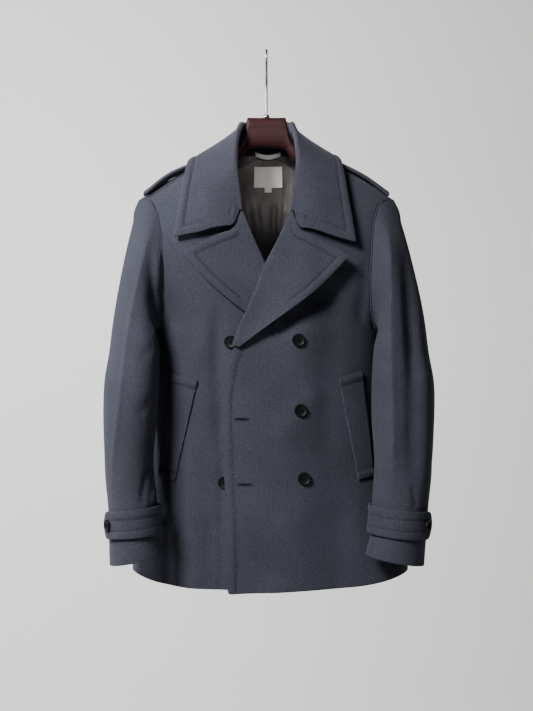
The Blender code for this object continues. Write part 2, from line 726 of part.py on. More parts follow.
def make_collar():
    shares = [(RIGHT, k / COLLAR_ROWS) for k in range(COLLAR_ROWS, 0, -1)]
    shares += [(LEFT, k / COLLAR_ROWS) for k in range(COLLAR_ROWS + 1)]
    rows = [collar_row(side, share) for side, share in shares]
    turns = [neckline(side, share) for side, share in shares]
    necks = np.array([body(*turn) for turn in turns])
    neck_normals = np.array([body_normal(*turn) for turn in turns])
    folds = np.array([on_arch(*fold) for _, fold, *_ in rows])
    along = np.gradient(necks, axis=0)
    stand = []
    for neck, normal, tangent, fold in zip(necks, neck_normals, along, folds):
        leave = unit(np.cross(normal, unit(tangent)))
        leave = leave if leave @ (fold - neck) > 0 else -leave
        rise = unit(fold - neck)
        reach = STAND_REACH * np.linalg.norm(fold - neck)
        start = neck + leave * SEAM
        stand.append([bezier(start, start + leave * reach, fold - rise * reach, fold, t)
                      for t in np.linspace(0, 1, STAND_COLUMNS + 1)])
    stand = np.array(stand)
    normals = grid_normals(stand)
    if normals[COLLAR_ROWS, 0] @ neck_normals[COLLAR_ROWS] < 0:
        normals = -normals
    normals[:, 0] = neck_normals
    wall("collar_stand", stand, stand - normals * WALL)

    middle, fall_normals = [], []
    for i, ((side, share), (_, fold, edge, roll)) in enumerate(zip(shares, rows)):
        away, outward = unit(stand[i, -1] - stand[i, -2]), normals[i, -1]
        start = stand[i, -1] - outward * WALL / 2 + away * SEAM
        row, row_normals = folded(start, away, outward, COLLAR_ROLL, roll)
        offset = row[-1] - on_arch(*fold)
        front = ease((share - (1 - COLLAR_FADE)) / COLLAR_FADE)
        for t in FALL_PLACES:
            x, angle, lift = (fold[k] + (edge[k] - fold[k]) * t for k in range(3))
            shoulder = ease(1 - abs(share - 0.5) / COLLAR_FADE)
            sag = COLLAR_SAG * math.sin(math.pi * t**COLLAR_SAG_POWER)
            lift -= shoulder * (sag + side * COLLAR_SIT * t)
            face = BACK if angle > 0 else FRONT
            lift += dip(COLLAR_OPEN, t) * front
            lift += COLLAR_EDGE_STAND[side] * t * t * ease((share - COLLAR_EDGE_FROM) / COLLAR_FADE)
            z = height(x, abs(angle) / 90) - dip(COLLAR_DIP, t) * front
            point = on_face(x, z, face, lift)
            row_normals.append(unit(on_face(x, z, face, lift + MM) - point))
            row.append(point + offset * (1 - t) ** 3)
        middle.append(row)
        fall_normals.append(row_normals)
    slab("collar_fall", np.array(middle), np.array(fall_normals), DOUBLE)


# ---------------------------------------------------------------- sleeves

def arm(side, turn, z, lift=0.0):
    """Point of a sleeve below the cap: turn 0 outside, 90 front, 180 inside, in degrees."""
    rows = [(-row[0], *row[1:]) for row in SLEEVE]
    x, y, half_x, half_y, lean, outside, inside = smooth_rows(rows, -z / MM)
    if side == LEFT:
        x, half_x = x + (outside - inside) / 2, half_x + (outside + inside) / 2
    lean, turn = math.radians(lean), math.radians(turn)
    out = np.array([math.cos(lean), -math.sin(lean)])
    forward = np.array([-math.sin(lean), -math.cos(lean)])
    flat = np.array([x, y]) + half_x * math.cos(turn) * out + half_y * math.sin(turn) * forward
    facing = half_y * math.cos(turn) * out + half_x * math.sin(turn) * forward
    flat = flat * MM + lift * unit(facing)
    return np.array([side * flat[0], flat[1], z])


def cuff_z(turn):
    return SLEEVE[-1][0] * MM - CUFF_SLANT * math.cos(math.radians(turn))


def sleeve_grid(side):
    """The whole sleeve as a grid of points, rows down the arm and columns round it."""
    columns = 2 * ARM_STEPS
    grid, leaving = [], []
    for k in range(columns):
        face = FRONT if k <= ARM_STEPS else BACK
        place = k / ARM_STEPS if k <= ARM_STEPS else 2 - k / ARM_STEPS
        around = 180 * k / ARM_STEPS
        turn, level = outer_edge(side, face, place)
        if k in (0, ARM_STEPS):
            turn, level = (side * abs(turn), 0.0) if k == 0 else (side * 90.0, level)
        *direction, reach = smooth_rows(CAP_START, around)
        direction = unit(np.array(direction)) * np.array([side, 1, 1])
        start = body(turn, level) + direction * SEAM
        on_oval = smooth_rows(ARM_TURN, around)[0]
        end = arm(side, on_oval, SLEEVE[0][0] * MM)
        down = unit(CAP_END_DIRECTION * np.array([side, 1, 1]))
        back_up = CAP_END_SHARE * np.linalg.norm(end - start)
        column = [bezier(start, start + direction * reach * MM, end - down * back_up, end, t)
                  for t in np.linspace(0, 1, CAP_ROWS + 1)]
        top = SLEEVE[0][0] * MM
        for t in np.linspace(0, 1, ARM_ROWS + 1)[1:]:
            column.append(arm(side, on_oval, top + (cuff_z(on_oval) - top) * t))
        grid.append(column)
        leaving.append(direction)
    return np.array(grid).transpose(1, 0, 2), np.array(leaving)


def make_sleeves():
    first, last = SLEEVE_SEAMS
    columns = 2 * ARM_STEPS
    for side, name in SIDE_NAMES:
        grid, leaving = sleeve_grid(side)
        normals = grid_normals(grid, wrap=True)
        around = np.roll(grid[0], -1, 0) - np.roll(grid[0], 1, 0)
        start = np.cross(around, leaving)
        normals[0] = start / np.linalg.norm(start, axis=1, keepdims=True)
        if normals[-1, 0, 0] * side < 0:
            normals = -normals
        inner = grid - normals * WALL
        top = list(range(last, columns)) + list(range(first + 1))
        under = list(range(first, last + 1))
        for part, picked in (("top", top), ("under", under)):
            skins = []
            for skin in (grid, inner):
                piece = skin[:, picked].copy()
                for edge, beside in ((0, 1), (-1, -2)):
                    inwards = piece[:, beside] - piece[:, edge]
                    inwards /= np.linalg.norm(inwards, axis=1, keepdims=True)
                    piece[:, edge] += inwards * SEAM / 2
                skins.append(piece)
            wall(f"sleeve_{part}_{name}", *skins)


# ---------------------------------------------------------------- straps, welts, buttons

def make_shoulder_straps():
    start, end = SHOULDER_STRAP_X
    for side, name in SIDE_NAMES:
        outer, inner = [], []
        for t in np.linspace(0, 1, SHOULDER_STRAP_ROWS + 1):
            x = side * (start + (end - start) * t)
            lift = SHOULDER_STRAP_LIFT[0] * (1 - t) + SHOULDER_STRAP_LIFT[1] * t
            lift += SHOULDER_STRAP_PUFF[side] * math.sin(math.pi * t) ** 1.5
            half = SHOULDER_STRAP_ANGLE / (1 + SHOULDER_STRAP_TAPER * (1 - t))
            angles = np.linspace(-half, half, SHOULDER_STRAP_COLUMNS + 1)
            outer.append([on_arch(x, angle, lift + STRAP_THICK) for angle in angles])
            inner.append([on_arch(x, angle, lift) for angle in angles])
        wall(f"shoulder_strap_{name}", np.array(outer), np.array(inner))


def cuff_strap_lift(turn):
    return CUFF_STRAP_LIFT + CUFF_STRAP_FLARE * ease(
        1 - (turn - CUFF_STRAP_TURNS[0]) / CUFF_STRAP_FLARE_TURN)


def make_cuff_straps():
    first, last = CUFF_STRAP_TURNS
    for side, name in SIDE_NAMES:
        outer, inner = [], []
        length = math.radians(last - first) * CUFF_STRAP_RADIUS
        for t in np.linspace(0, 1, CUFF_STRAP_COLUMNS + 1):
            turn = first + (last - first) * t
            widening = (1 - CUFF_STRAP_TIP) * t * length / CUFF_STRAP_POINT
            half = CUFF_STRAP_HALF * min(1.0, CUFF_STRAP_TIP + widening)
            z = CUFF_STRAP_Z - CUFF_STRAP_SLANT * math.cos(math.radians(turn))
            heights = [z + half * k for k in CUFF_STRAP_HEIGHTS]
            lift = cuff_strap_lift(turn)
            outer.append([arm(side, turn, level, lift + STRAP_THICK) for level in heights])
            inner.append([arm(side, turn, level, lift) for level in heights])
        wall(f"cuff_strap_{name}", np.array(outer), np.array(inner))


def make_welts():
    for side, name in SIDE_NAMES:
        outer, inner = [], []
        for down in np.linspace(0, 1, WELT_ROWS + 1):
            edges = [np.array(top) * (1 - down) + np.array(bottom) * down
                     for top, bottom in zip(WELT_TOP[side], WELT_BOTTOM[side])]
            row, row_inner = [], []
            for t in np.linspace(0, 1, WELT_COLUMNS + 1):
                x, z = (edges[0] * (1 - t) + edges[1] * t) * MM
                lift = WELT_LIFT[0] + (WELT_LIFT[1] - WELT_LIFT[0]) * t * math.sin(math.pi * down)
                row.append(on_face(side * x, z, FRONT, lift + WELT_THICK))
                row_inner.append(on_face(side * x, z, FRONT, lift))
            outer.append(row)
            inner.append(row_inner)
        wall(f"pocket_welt_{name}", np.array(outer), np.array(inner))


def make_button(name, centre, normal, radius):
    """A four-hole button with a raised rim, its back against the cloth."""
    up = unit(np.array([0, 0, 1.0]) - normal * normal[2])
    side_way = np.cross(up, normal)
    bm = bmesh.new()
    rings = []
    for share, rise in BUTTON_PROFILE:
        points = []
        for k in range(BUTTON_SEGMENTS):
            a = 2 * math.pi * k / BUTTON_SEGMENTS
            flat = radius * share * (math.cos(a) * side_way + math.sin(a) * up)
            points.append(bm.verts.new(centre + flat + normal * BUTTON_THICK * rise))
        rings.append(points)
    for first, second in zip(rings, rings[1:]):
        for j in range(BUTTON_SEGMENTS):
            k = (j + 1) % BUTTON_SEGMENTS
            bm.faces.new((first[j], first[k], second[k], second[j]))
    bm.faces.new(rings[0])
    bm.faces.new(rings[-1])
    made = finish(bm, name, "button")
    for k in range(4):
        a = math.pi / 4 + math.pi / 2 * k
        flat = BUTTON_HOLE_RING * (math.cos(a) * side_way + math.sin(a) * up)
        drill(made, centre + flat, normal, f"{name}_hole_{k}")
    return made


def drill(target, at, normal, name):
    """Cut one thread hole through a button with a hidden cutter."""
    bm = bmesh.new()
    bmesh.ops.create_cone(bm, cap_ends=True, segments=BUTTON_HOLE_SEGMENTS,
                          depth=4 * BUTTON_THICK, radius1=BUTTON_HOLE, radius2=BUTTON_HOLE)
    cutter = finish(bm, name, "button")
    cutter.rotation_euler = Vector(normal).to_track_quat("Z", "Y").to_euler()
    cutter.location = at
    cutter.hide_render = True
    cutter.display_type = "WIRE"
    cut = target.modifiers.new(name, "BOOLEAN")
    cut.object = cutter
    cut.operation = "DIFFERENCE"


def make_buttons():
    for side, name in SIDE_NAMES:
        for number, (x, z) in enumerate(LEFT_BUTTONS if side == LEFT else RIGHT_BUTTONS, start=1):
            x, z = x * MM, z * MM
            normal = front_normal(x, z)
            tallest = max((front_point(side, x + dx, z + dz) - front_point(side, x, z)) @ normal
                          for dx in (-FRONT_BUTTON, 0, FRONT_BUTTON)
                          for dz in (-FRONT_BUTTON, 0, FRONT_BUTTON))
            centre = front_point(side, x, z) + normal * (tallest + BUTTON_GAP)
            make_button(f"button_{name}_{number}", centre, normal, FRONT_BUTTON)
        turn = CUFF_BUTTON_TURN
        z = CUFF_STRAP_Z - CUFF_STRAP_SLANT * math.cos(math.radians(turn))
        lift = cuff_strap_lift(turn) + STRAP_THICK + CUFF_BUTTON_GAP
        point = arm(side, turn, z, lift)
        normal = unit(arm(side, turn, z, lift + MM) - point)
        make_button(f"cuff_button_{name}", point, normal, CUFF_BUTTON)


# ---------------------------------------------------------------- inside the neck

def in_lining(x, z, inside=0.0):
    """Point of the lining inside the back; inside 0 is its outer face."""
    fold = 0.5 - 0.5 * math.cos(2 * math.pi * LINING_FOLDS * (x / (2 * LINING_HALF) + 0.5))
    fade = ease((abs(x - LABEL_TOP[0] * MM) - LINING_FLAT[0]) / LINING_FLAT[1])
    inset = LINING_INSET + LINING_FOLD_DEPTH * fold * fade + inside
    return on_face(x, z, BACK, -inset)


def make_lining():
    outer, inner = [], []
    places_x = np.linspace(-LINING_HALF, LINING_HALF, LINING_COLUMNS + 1)
    for level in LINING_LEVELS:
        row = [(x, height(x, level)) for x in places_x]
        outer.append([in_lining(x, z) for x, z in row])
        inner.append([in_lining(x, z, LINING_THICK) for x, z in row])
    wall("lining", np.array(outer), np.array(inner), "lining")


def make_label():
    """The neck label with the small tab that hangs from its lower edge."""
    x, top = LABEL_TOP
    outer, inner = [], []
    for drop, width in LABEL_ROWS:
        row = [((x + width * dx) * MM, (top - drop) * MM)
               for dx in np.linspace(-0.5, 0.5, LABEL_COLUMNS + 1)]
        clear = LINING_THICK + LABEL_LIFT
        outer.append([in_lining(a, b, clear) for a, b in row])
        inner.append([in_lining(a, b, clear + LABEL_THICK) for a, b in row])
    wall("neck_label", np.array(outer), np.array(inner), "label")


def make_loop():
    """A tape loop at the back neck, standing off the collar's stand."""
    outer, inner = [], []
    for t in np.linspace(-1, 1, LOOP_COLUMNS + 1):
        x = LOOP_CENTRE[0] + LOOP_HALF * t
        y = LOOP_CENTRE[1] - LOOP_STAND * (1 - t**4)
        z = LOOP_CENTRE[2] - LOOP_SAG * (1 - t * t)
        outer.append([np.array([x, y, z + LOOP_WIDTH / 2]), np.array([x, y, z - LOOP_WIDTH / 2])])
        inner.append([p - np.array([0, LOOP_THICK, 0]) for p in outer[-1]])
    wall("hanging_loop", np.array(outer), np.array(inner), "label")


# ---------------------------------------------------------------- hanger

def hanger_top(x):
    under_cloth = ridge(x) - (WALL + HANGER_CLEAR) * math.hypot(1, SHOULDER_SLOPE)
    head = ease((HANGER_HEAD[1] - abs(x)) / (HANGER_HEAD[1] - HANGER_HEAD[0]))
    return under_cloth + (HANGER_TOP_Z - under_cloth) * head


def make_hanger():
    rings = []
    stations = [(-x, width, tall) for x, width, tall in HANGER[:0:-1]] + HANGER
    for x, width, tall in stations:
        top = hanger_top(x * MM)
        ring_points = []
        for k in range(HANGER_SECTION):
            a = 2 * math.pi * (k + 0.5) / HANGER_SECTION
            power = 2 / HANGER_POWER
            across = math.copysign(abs(math.cos(a)) ** power, math.cos(a)) * width / 2 * MM
            up = math.copysign(abs(math.sin(a)) ** power, math.sin(a)) * tall / 2 * MM
            ring_points.append(np.array([x * MM, across, top - tall / 2 * MM + up]))
        rings.append(ring_points)
    loft("hanger_body", rings, "wood")


def make_hook():
    """The steel hook with its turned foot, one round bar along a bent line."""
    bottom = HANGER_TOP_Z + SEAM
    line = [((0, 0, bottom + rise), radius) for rise, radius in HOOK_FOOT]
    line += [((0, 0, bottom + SHANK_FOOT), WIRE)]
    line += [(tuple(np.array(point) * MM), WIRE) for point in HOOK_BEND]
    for angle in range(0, HOOK_END + 1, HOOK_STEP):
        turned = math.radians(angle)
        line.append(((0, -HOOK_RADIUS * math.cos(turned),
                      WIRE - HOOK_RADIUS + HOOK_RADIUS * math.sin(turned)), WIRE))
    path = np.array([point for point, _ in line])
    side = np.array([1.0, 0, 0])
    rings = []
    for point, tangent, (_, radius) in zip(path, np.gradient(path, axis=0), line):
        across = np.cross(unit(tangent), side)
        rings.append([point + radius * (math.cos(a) * side + math.sin(a) * across)
                      for a in np.linspace(0, 2 * math.pi, WIRE_SIDES, endpoint=False)])
    loft("hanger_hook", rings, "steel")


def main():
    for old in list(bpy.data.objects):
        bpy.data.objects.remove(old)
    make_back()
    make_fronts()
    make_lapels()
    make_collar()
    make_sleeves()
    make_shoulder_straps()
    make_cuff_straps()
    make_welts()
    make_buttons()
    make_lining()
    make_label()
    make_loop()
    make_hanger()
    make_hook()


main()
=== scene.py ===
"""A pea coat on a wooden hanger: the cloth, buttons, stitching and finishes over its CAD solids.

Each cloth piece is a thin shell: its solid's own panels, rounded, with the folds that the
coat hangs in laid over them. Lengths are in metres, and MM turns millimetres into them.
"""

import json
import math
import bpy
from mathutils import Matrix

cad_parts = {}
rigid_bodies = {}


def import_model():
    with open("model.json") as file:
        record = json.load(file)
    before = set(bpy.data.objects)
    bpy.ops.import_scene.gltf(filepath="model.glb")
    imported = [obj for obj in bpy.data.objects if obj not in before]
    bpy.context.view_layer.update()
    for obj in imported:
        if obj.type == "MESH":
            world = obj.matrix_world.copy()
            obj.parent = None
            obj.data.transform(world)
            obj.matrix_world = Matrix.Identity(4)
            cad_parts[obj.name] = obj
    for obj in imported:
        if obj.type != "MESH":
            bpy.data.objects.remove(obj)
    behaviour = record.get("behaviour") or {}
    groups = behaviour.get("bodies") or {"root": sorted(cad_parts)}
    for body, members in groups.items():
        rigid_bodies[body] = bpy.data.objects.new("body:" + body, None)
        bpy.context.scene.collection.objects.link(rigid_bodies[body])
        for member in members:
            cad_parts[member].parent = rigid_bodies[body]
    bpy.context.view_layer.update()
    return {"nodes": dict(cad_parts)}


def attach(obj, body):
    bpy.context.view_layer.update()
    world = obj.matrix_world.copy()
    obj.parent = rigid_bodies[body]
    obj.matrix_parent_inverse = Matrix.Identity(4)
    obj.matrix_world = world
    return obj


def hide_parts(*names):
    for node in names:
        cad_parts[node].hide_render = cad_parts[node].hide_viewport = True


bl_info = {
    "name": "Pea Coat on a Hanger",
    "version": (1, 0, 0),
    "blender": (4, 5, 0),
    "location": "View3D > Sidebar > Coat",
    "description": "Dresses a wool pea coat and its wooden hanger over their CAD solids",
    "category": "Add Mesh",
}

import bmesh
import bpy
import numpy as np
from bpy.props import FloatProperty, FloatVectorProperty, IntProperty, PointerProperty
from mathutils import Matrix, Vector
from mathutils.bvhtree import BVHTree
from mathutils.kdtree import KDTree

for left_over in list(bpy.data.objects):
    bpy.data.objects.remove(left_over)

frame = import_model()

MM = 0.001
BODY = "root"
SIDES = (("left", 1), ("right", -1))

# Half width and half depth of the trunk and of a sleeve, for telling outside from inside
TRUNK = (240 * MM, 88 * MM)
SLEEVE_HALF = (46 * MM, 66 * MM)
RIM_ANGLE = math.radians(65)        # the cloth's cut edges are sharper than this
RIM_CREASE, STRAP_CREASE, HANGER_CREASE = 0.5, 0.85, 0.75
SEAM_NEAR = 0.7 * MM                # a cut edge this near to another piece is sewn to it
SEAM_DEPTH, SEAM_HALF = 0.9 * MM, 2.4 * MM
GROOVE_HALF = 1.8 * MM              # half width of the groove that topstitching pulls in
THREAD_RISE = 0.1 * MM
STITCHED_LEAST = 4.5 * MM           # shorter edges are corners, and aren't topstitched
STRAP_BAND = 0.5                    # the straps' stitched edges are this much as deep
STEEP = 0.6                         # how far along an axis an edge must run to count as along it
ALLOWANCE = 1.4 * MM                # half thickness of the seam allowance round an armhole
BUNCH, BUNCH_HALF = 2.4, 0.4        # it is thicker under the arm, over this part of a turn
LINING_BACK = 6 * MM                # the lining ends this far from a seam

# Sheets: cut width and length in metres, flat area in square metres, how held, what carries it
SHEETS = {
    "back": (0.56, 0.77, 0.333, "hung", "hanger_body"),
    "front_left": (0.36, 0.77, 0.206, "hung", "hanger_body"),
    "front_right": (0.36, 0.77, 0.198, "hung", "hanger_body"),
    "lapel_left": (0.15, 0.26, 0.0190, "folded", "front_left"),
    "lapel_right": (0.15, 0.26, 0.0187, "folded", "front_right"),
    "collar_fall": (0.56, 0.18, 0.072, "folded", "collar_stand"),
    "collar_stand": (0.42, 0.05, 0.0178, "folded", "back"),
    "sleeve_top_left": (0.26, 0.66, 0.134, "hung", "front_left"),
    "sleeve_top_right": (0.26, 0.66, 0.130, "hung", "front_right"),
    "sleeve_under_left": (0.15, 0.46, 0.053, "hung", "back"),
    "sleeve_under_right": (0.15, 0.46, 0.052, "hung", "back"),
    "shoulder_strap_left": (0.045, 0.12, 0.0051, "laid", "back"),
    "shoulder_strap_right": (0.045, 0.12, 0.0053, "laid", "back"),
    "cuff_strap_left": (0.05, 0.25, 0.0120, "folded", "sleeve_top_left"),
    "cuff_strap_right": (0.05, 0.25, 0.0118, "folded", "sleeve_top_right"),
    "pocket_welt_left": (0.036, 0.187, 0.0067, "laid", "front_left"),
    "pocket_welt_right": (0.036, 0.187, 0.0067, "laid", "front_right"),
    "lining": (0.30, 0.72, 0.204, "hung", "back"),
    "neck_label": (0.0525, 0.046, 0.0020, "laid", "lining"),
    "hanging_loop": (0.010, 0.05, 0.0004, "hung", "collar_stand"),
}

# Folds: where they run, seen from a side, as (across, up) in millimetres, with their half width
# and height in millimetres. A ridge is positive and a trough negative. Some have a sharp crest.
FOLD_STEP = 8                       # millimetres between two points of a fold
FOLD_BLEND = 14 * MM                # how far round a point its fold's direction is averaged
AT_HEM = -900                       # a fold that goes lower, in millimetres, runs out at the hem
FRONT_FOLDS = [
    ("front", [(124, -400), (90, -428), (56, -455), (23, -478), (-6, -497)], 24, -11.0),
    ("front", [(-82, -430), (-84, -560), (-82, -715)], 14, -8.0),
    ("front", [(-75, -545), (-76, -640), (-76, -760), (-76, -925)], 9, -4.0),
    ("front", [(8, -690), (52, -640), (102, -572)], 24, 4.2),
    ("front", [(40, -735), (90, -690), (128, -650)], 20, -2.0),
    ("front", [(-122, -640), (-126, -780), (-128, -930)], 20, 3.6),
    ("front", [(-97, -800), (-94, -930)], 14, -3.4),
    ("front", [(-168, -800), (-166, -925)], 16, -4.5),
    ("front", [(122, -770), (128, -925)], 22, -2.6),
    ("front", [(40, -800), (36, -930)], 24, 1.8),
    ("front", [(-171, -352), (-163, -430), (-152, -500)], 12, -3.0),
    ("front", [(172, -352), (165, -430), (158, -490)], 12, -3.0),
    ("front", [(-140, -560), (-110, -520), (-92, -470)], 18, 2.0),
]
BACK_FOLDS = [
    ("back", [(-62, -300), (-70, -400), (-82, -520)], 20, -3.0),
    ("back", [(70, -310), (76, -430), (84, -570)], 22, -3.4),
    ("back", [(-72, -262), (0, -276), (74, -260)], 11, -1.8),
    ("back", [(152, -400), (112, -470)], 13, -3.0),
    ("back", [(-152, -405), (-106, -486)], 14, -3.2),
    ("back", [(-112, -640), (-118, -780), (-122, -930)], 22, 3.8),
    ("back", [(22, -690), (16, -930)], 20, -3.8),
    ("back", [(108, -650), (114, -930)], 20, 3.4),
    ("back", [(170, -760), (166, -930)], 15, -3.6),
    ("back", [(-40, -560), (10, -580), (60, -556)], 15, -1.6),
]
SLEEVE_FOLDS = [
    ("front", [(-190, -285), (-201, -330), (-226, -480), (-245, -650), (-257, -786)],
     8, 4.6, "crest"),
    ("front", [(206, -290), (210, -390), (209, -524), (209, -657), (207, -786)],
     12, 10.0, "crest"),
    ("front", [(232, -330), (242, -430), (245, -560), (243, -690), (236, -786)], 18, -9.5),
    ("front", [(-186, -335), (-188, -400), (-188, -455), (-190, -510)], 9, 7.5),
    ("front", [(-190, -706), (-199, -736), (-206, -782)], 7, -3.5),
    ("front", [(-184, -736), (-190, -782)], 6, 3.0),
    ("front", [(-182, -508), (-212, -546)], 9, -2.0),
    ("front", [(-184, -600), (-214, -634)], 10, -2.2),
    ("front", [(-180, -410), (-204, -452)], 10, -1.8),
    ("front", [(242, -440), (252, -600)], 14, -2.6),
    ("front", [(242, -745), (246, -786)], 6, -2.8),
    ("front", [(182, -520), (206, -560)], 9, -2.0),
    ("front", [(184, -640), (210, -676)], 10, -2.0),
    ("left", [(0, -512), (-46, -538)], 9, -2.8),
    ("left", [(-12, -556), (-62, -580)], 10, -3.2),
    ("left", [(-30, -604), (-72, -622)], 9, -2.4),
    ("left", [(-60, -700), (-100, -730)], 12, -2.2),
    ("right", [(2, -518), (-50, -546)], 10, -3.0),
    ("right", [(-16, -566), (-60, -588)], 9, -2.8),
    ("right", [(-34, -612), (-78, -634)], 10, -2.6),
    ("right", [(-64, -716), (-98, -740)], 11, -2.0),
]
LINING_FOLDS = [
    ("front", [(36, -200), (34, -260), (30, -330)], 5, -4.5),
    ("front", [(46, -196), (44, -270), (38, -350)], 5, 4.0),
    ("front", [(-38, -205), (-33, -280), (-24, -350)], 6, -4.0),
    ("front", [(-20, -250), (-14, -320)], 5, 2.0),
    ("front", [(14, -256), (12, -330)], 6, -2.2),
]

# Waves of the cloth too soft to be folds: direction, wave length, height and phase
DRIFT = [
    ((0.9, 0.3, 0.25), 170 * MM, 0.9 * MM, 0.4),
    ((-0.35, 0.2, 0.9), 235 * MM, 0.8 * MM, 2.1),
    ((0.55, -0.5, -0.65), 128 * MM, 0.5 * MM, 4.0),
]

# The roll line of each lapel, (away from the middle, up)
ROLL_X = -3.5 * MM
ROLL_TOP, ROLL_END = (44 * MM, -291 * MM), (-47.5 * MM, -516 * MM)

# Where topstitching runs: off a roll by so far, and from so far out or down, fading in over a
# width, so that it doesn't cross the gorge. The fronts have it only down their free edges.
ROLL_CLEAR = 9 * MM
LAPEL_STITCHED = (48 * MM, -318 * MM, 6 * MM)
COLLAR_STITCHED = (47 * MM, 5 * MM)
FRONT_EDGE, FRONT_EDGE_TOP = 40 * MM, -500 * MM
LINING_EDGE = 30 * MM               # the fronts' lining ends this far from the middle

BUTTONHOLES = [(-41.5, -640.2, 23.0), (-36.5, -750.6, 24.5)]    # middle x, z and length in mm
# Rows of stitches this far from the slit in millimetres, their slope a stitch and their slant
HOLE_HALF, HOLE_SLOPE, HOLE_SLANT = 2.0, 0.04, 0.08

# A button's half section, from the middle of its underside: shares of its radius and thickness
BUTTON_PROFILE = [(0.0, 0.0), (0.86, 0.0), (0.97, 0.16), (1.0, 0.42), (1.0, 0.7), (0.965, 0.92),
                  (0.90, 1.0), (0.83, 0.95), (0.76, 0.74), (0.66, 0.62), (0.4, 0.56),
                  (0.0, 0.54)]
BUTTON_FLOOR = 0.56                 # height of its dished middle, as a share of the thickness
BUTTON_SHARP = math.radians(42)

NECK_BEAM = math.radians(3.0)       # of the small spot that lights the label


# ---------------------------------------------------------------- colours and nodes

def linear(colour):
    """An sRGB hex colour as linear red, green and blue."""
    parts = [int(colour[i:i + 2], 16) / 255 for i in (1, 3, 5)]
    return tuple(c / 12.92 if c <= 0.04045 else ((c + 0.055) / 1.055) ** 2.4 for c in parts)


def node(tree, kind, settings=None, inputs=None, out=None):
    """A new node with its settings and its inputs set or linked; returns one of its outputs."""
    made = tree.nodes.new(kind)
    for name, value in (settings or {}).items():
        setattr(made, name, value)
    for name, value in (inputs or {}).items():
        found = (made.inputs[name] if isinstance(name, int)
                 else next(s for s in made.inputs if s.enabled and s.name == name))
        if isinstance(value, bpy.types.NodeSocket):
            tree.links.new(value, found)
        else:
            found.default_value = value
    return next((s for s in made.outputs if s.enabled and out in (None, s.name)), None)


def opaque(colour):
    return (*colour, 1.0)


def place_on(tree, stretch=None):
    """Places on a piece, in its own coordinates, stretched if that is asked for."""
    place = node(tree, "ShaderNodeTexCoord", out="Object")
    if stretch is None:
        return place
    return node(tree, "ShaderNodeMapping", None, {"Vector": place, "Scale": stretch}, "Vector")


def attribute(tree, name, out):
    return node(tree, "ShaderNodeAttribute", {"attribute_name": name}, None, out)


def noise(tree, place, scale, detail, roughness=0.5, distortion=0.0):
    return node(tree, "ShaderNodeTexNoise", None,
                {"Vector": place, "Scale": scale, "Detail": detail, "Roughness": roughness,
                 "Distortion": distortion}, "Fac")


def waves(tree, place, along, scale, distortion, detail=2.0, detail_scale=1.0):
    return node(tree, "ShaderNodeTexWave", {"bands_direction": along},
                {"Vector": place, "Scale": scale, "Distortion": distortion, "Detail": detail,
                 "Detail Scale": detail_scale}, "Fac")


def ranged(tree, value, source=(0, 1), target=(0, 1)):
    """A value with its source range turned into the target range."""
    return node(tree, "ShaderNodeMapRange", None,
                {"Value": value, "From Min": source[0], "From Max": source[1],
                 "To Min": target[0], "To Max": target[1]}, "Result")


def maths(tree, operation, *values):
    return node(tree, "ShaderNodeMath", {"operation": operation}, dict(enumerate(values)))


def mixed(tree, factor, *colours, blend="MIX"):
    """Two colours, or nodes' colours, mixed by a factor."""
    first, second = (c if isinstance(c, bpy.types.NodeSocket) else opaque(c) for c in colours)
    return node(tree, "ShaderNodeMix", {"data_type": "RGBA", "blend_type": blend},
                {"Factor": factor, "A": first, "B": second}, "Result")


def surface(tree, colour, roughness, relief, more=None):
    """A material's surface. Its relief is a height, a strength and a depth in millimetres."""
    height, strength, depth = relief
    bump = node(tree, "ShaderNodeBump", None,
                {"Strength": strength, "Distance": depth * MM, "Height": height}, "Normal")
    shader = node(tree, "ShaderNodeBsdfPrincipled", None,
                  {"Base Color": colour, "Roughness": roughness, "Normal": bump,
                   **(more or {})}, "BSDF")
    node(tree, "ShaderNodeOutputMaterial", None, {"Surface": shader})


def milled_wool(tree, colours):
    """Melton wool, woven as a twill and then milled and brushed: matt, soft, slightly heathered.

    The ribs are about 1.5 mm apart in such cloth and are drawn at 2.8 mm, so that they show.
    They run down the cloth, by its "grain" attribute: the way round the piece, and the height.
    """
    place = place_on(tree)
    fibres = noise(tree, place, 520.0, 5.0, 0.72)
    nap = noise(tree, place, 95.0, 3.0, 0.6)
    cloud = noise(tree, place, 11.0, 2.0)
    grain = attribute(tree, "grain", "Vector")
    ribs = waves(tree, grain, "X", 112.0, 0.7, 1.0, 3.0)
    picks = waves(tree, grain, "Z", 128.0, 0.9, 1.0)
    twill = maths(tree, "MULTIPLY_ADD", ribs, 0.6, maths(tree, "MULTIPLY", picks, 0.4))
    heather = mixed(tree, ranged(tree, fibres, (0.32, 0.68)),
                    colours.wool_dark, colours.wool_light)
    ribbed = mixed(tree, 0.3, heather, ranged(tree, twill, target=(0.45, 1.45)),
                   blend="MULTIPLY")
    clouded = mixed(tree, 0.5, ribbed, ranged(tree, cloud, (0.3, 0.7), (0.78, 1.2)),
                    blend="MULTIPLY")
    # Painted shade: along the topstitching's groove the colour is mixed towards wool_shadow,
    # standing in for the shade that falls in the groove.
    line = maths(tree, "MULTIPLY", attribute(tree, "stitch_line", "Fac"), 0.4)
    height = maths(tree, "MULTIPLY_ADD", twill, 1.1,
                   maths(tree, "MULTIPLY_ADD", nap, 0.8, fibres))
    surface(tree, mixed(tree, line, clouded, colours.wool_shadow), 0.95, (height, 0.55, 0.5),
            {"IOR": 1.45, "Specular IOR Level": 0.12, "Sheen Weight": 0.13,
             "Sheen Roughness": 0.5, "Sheen Tint": opaque(linear("#adb0bf"))})


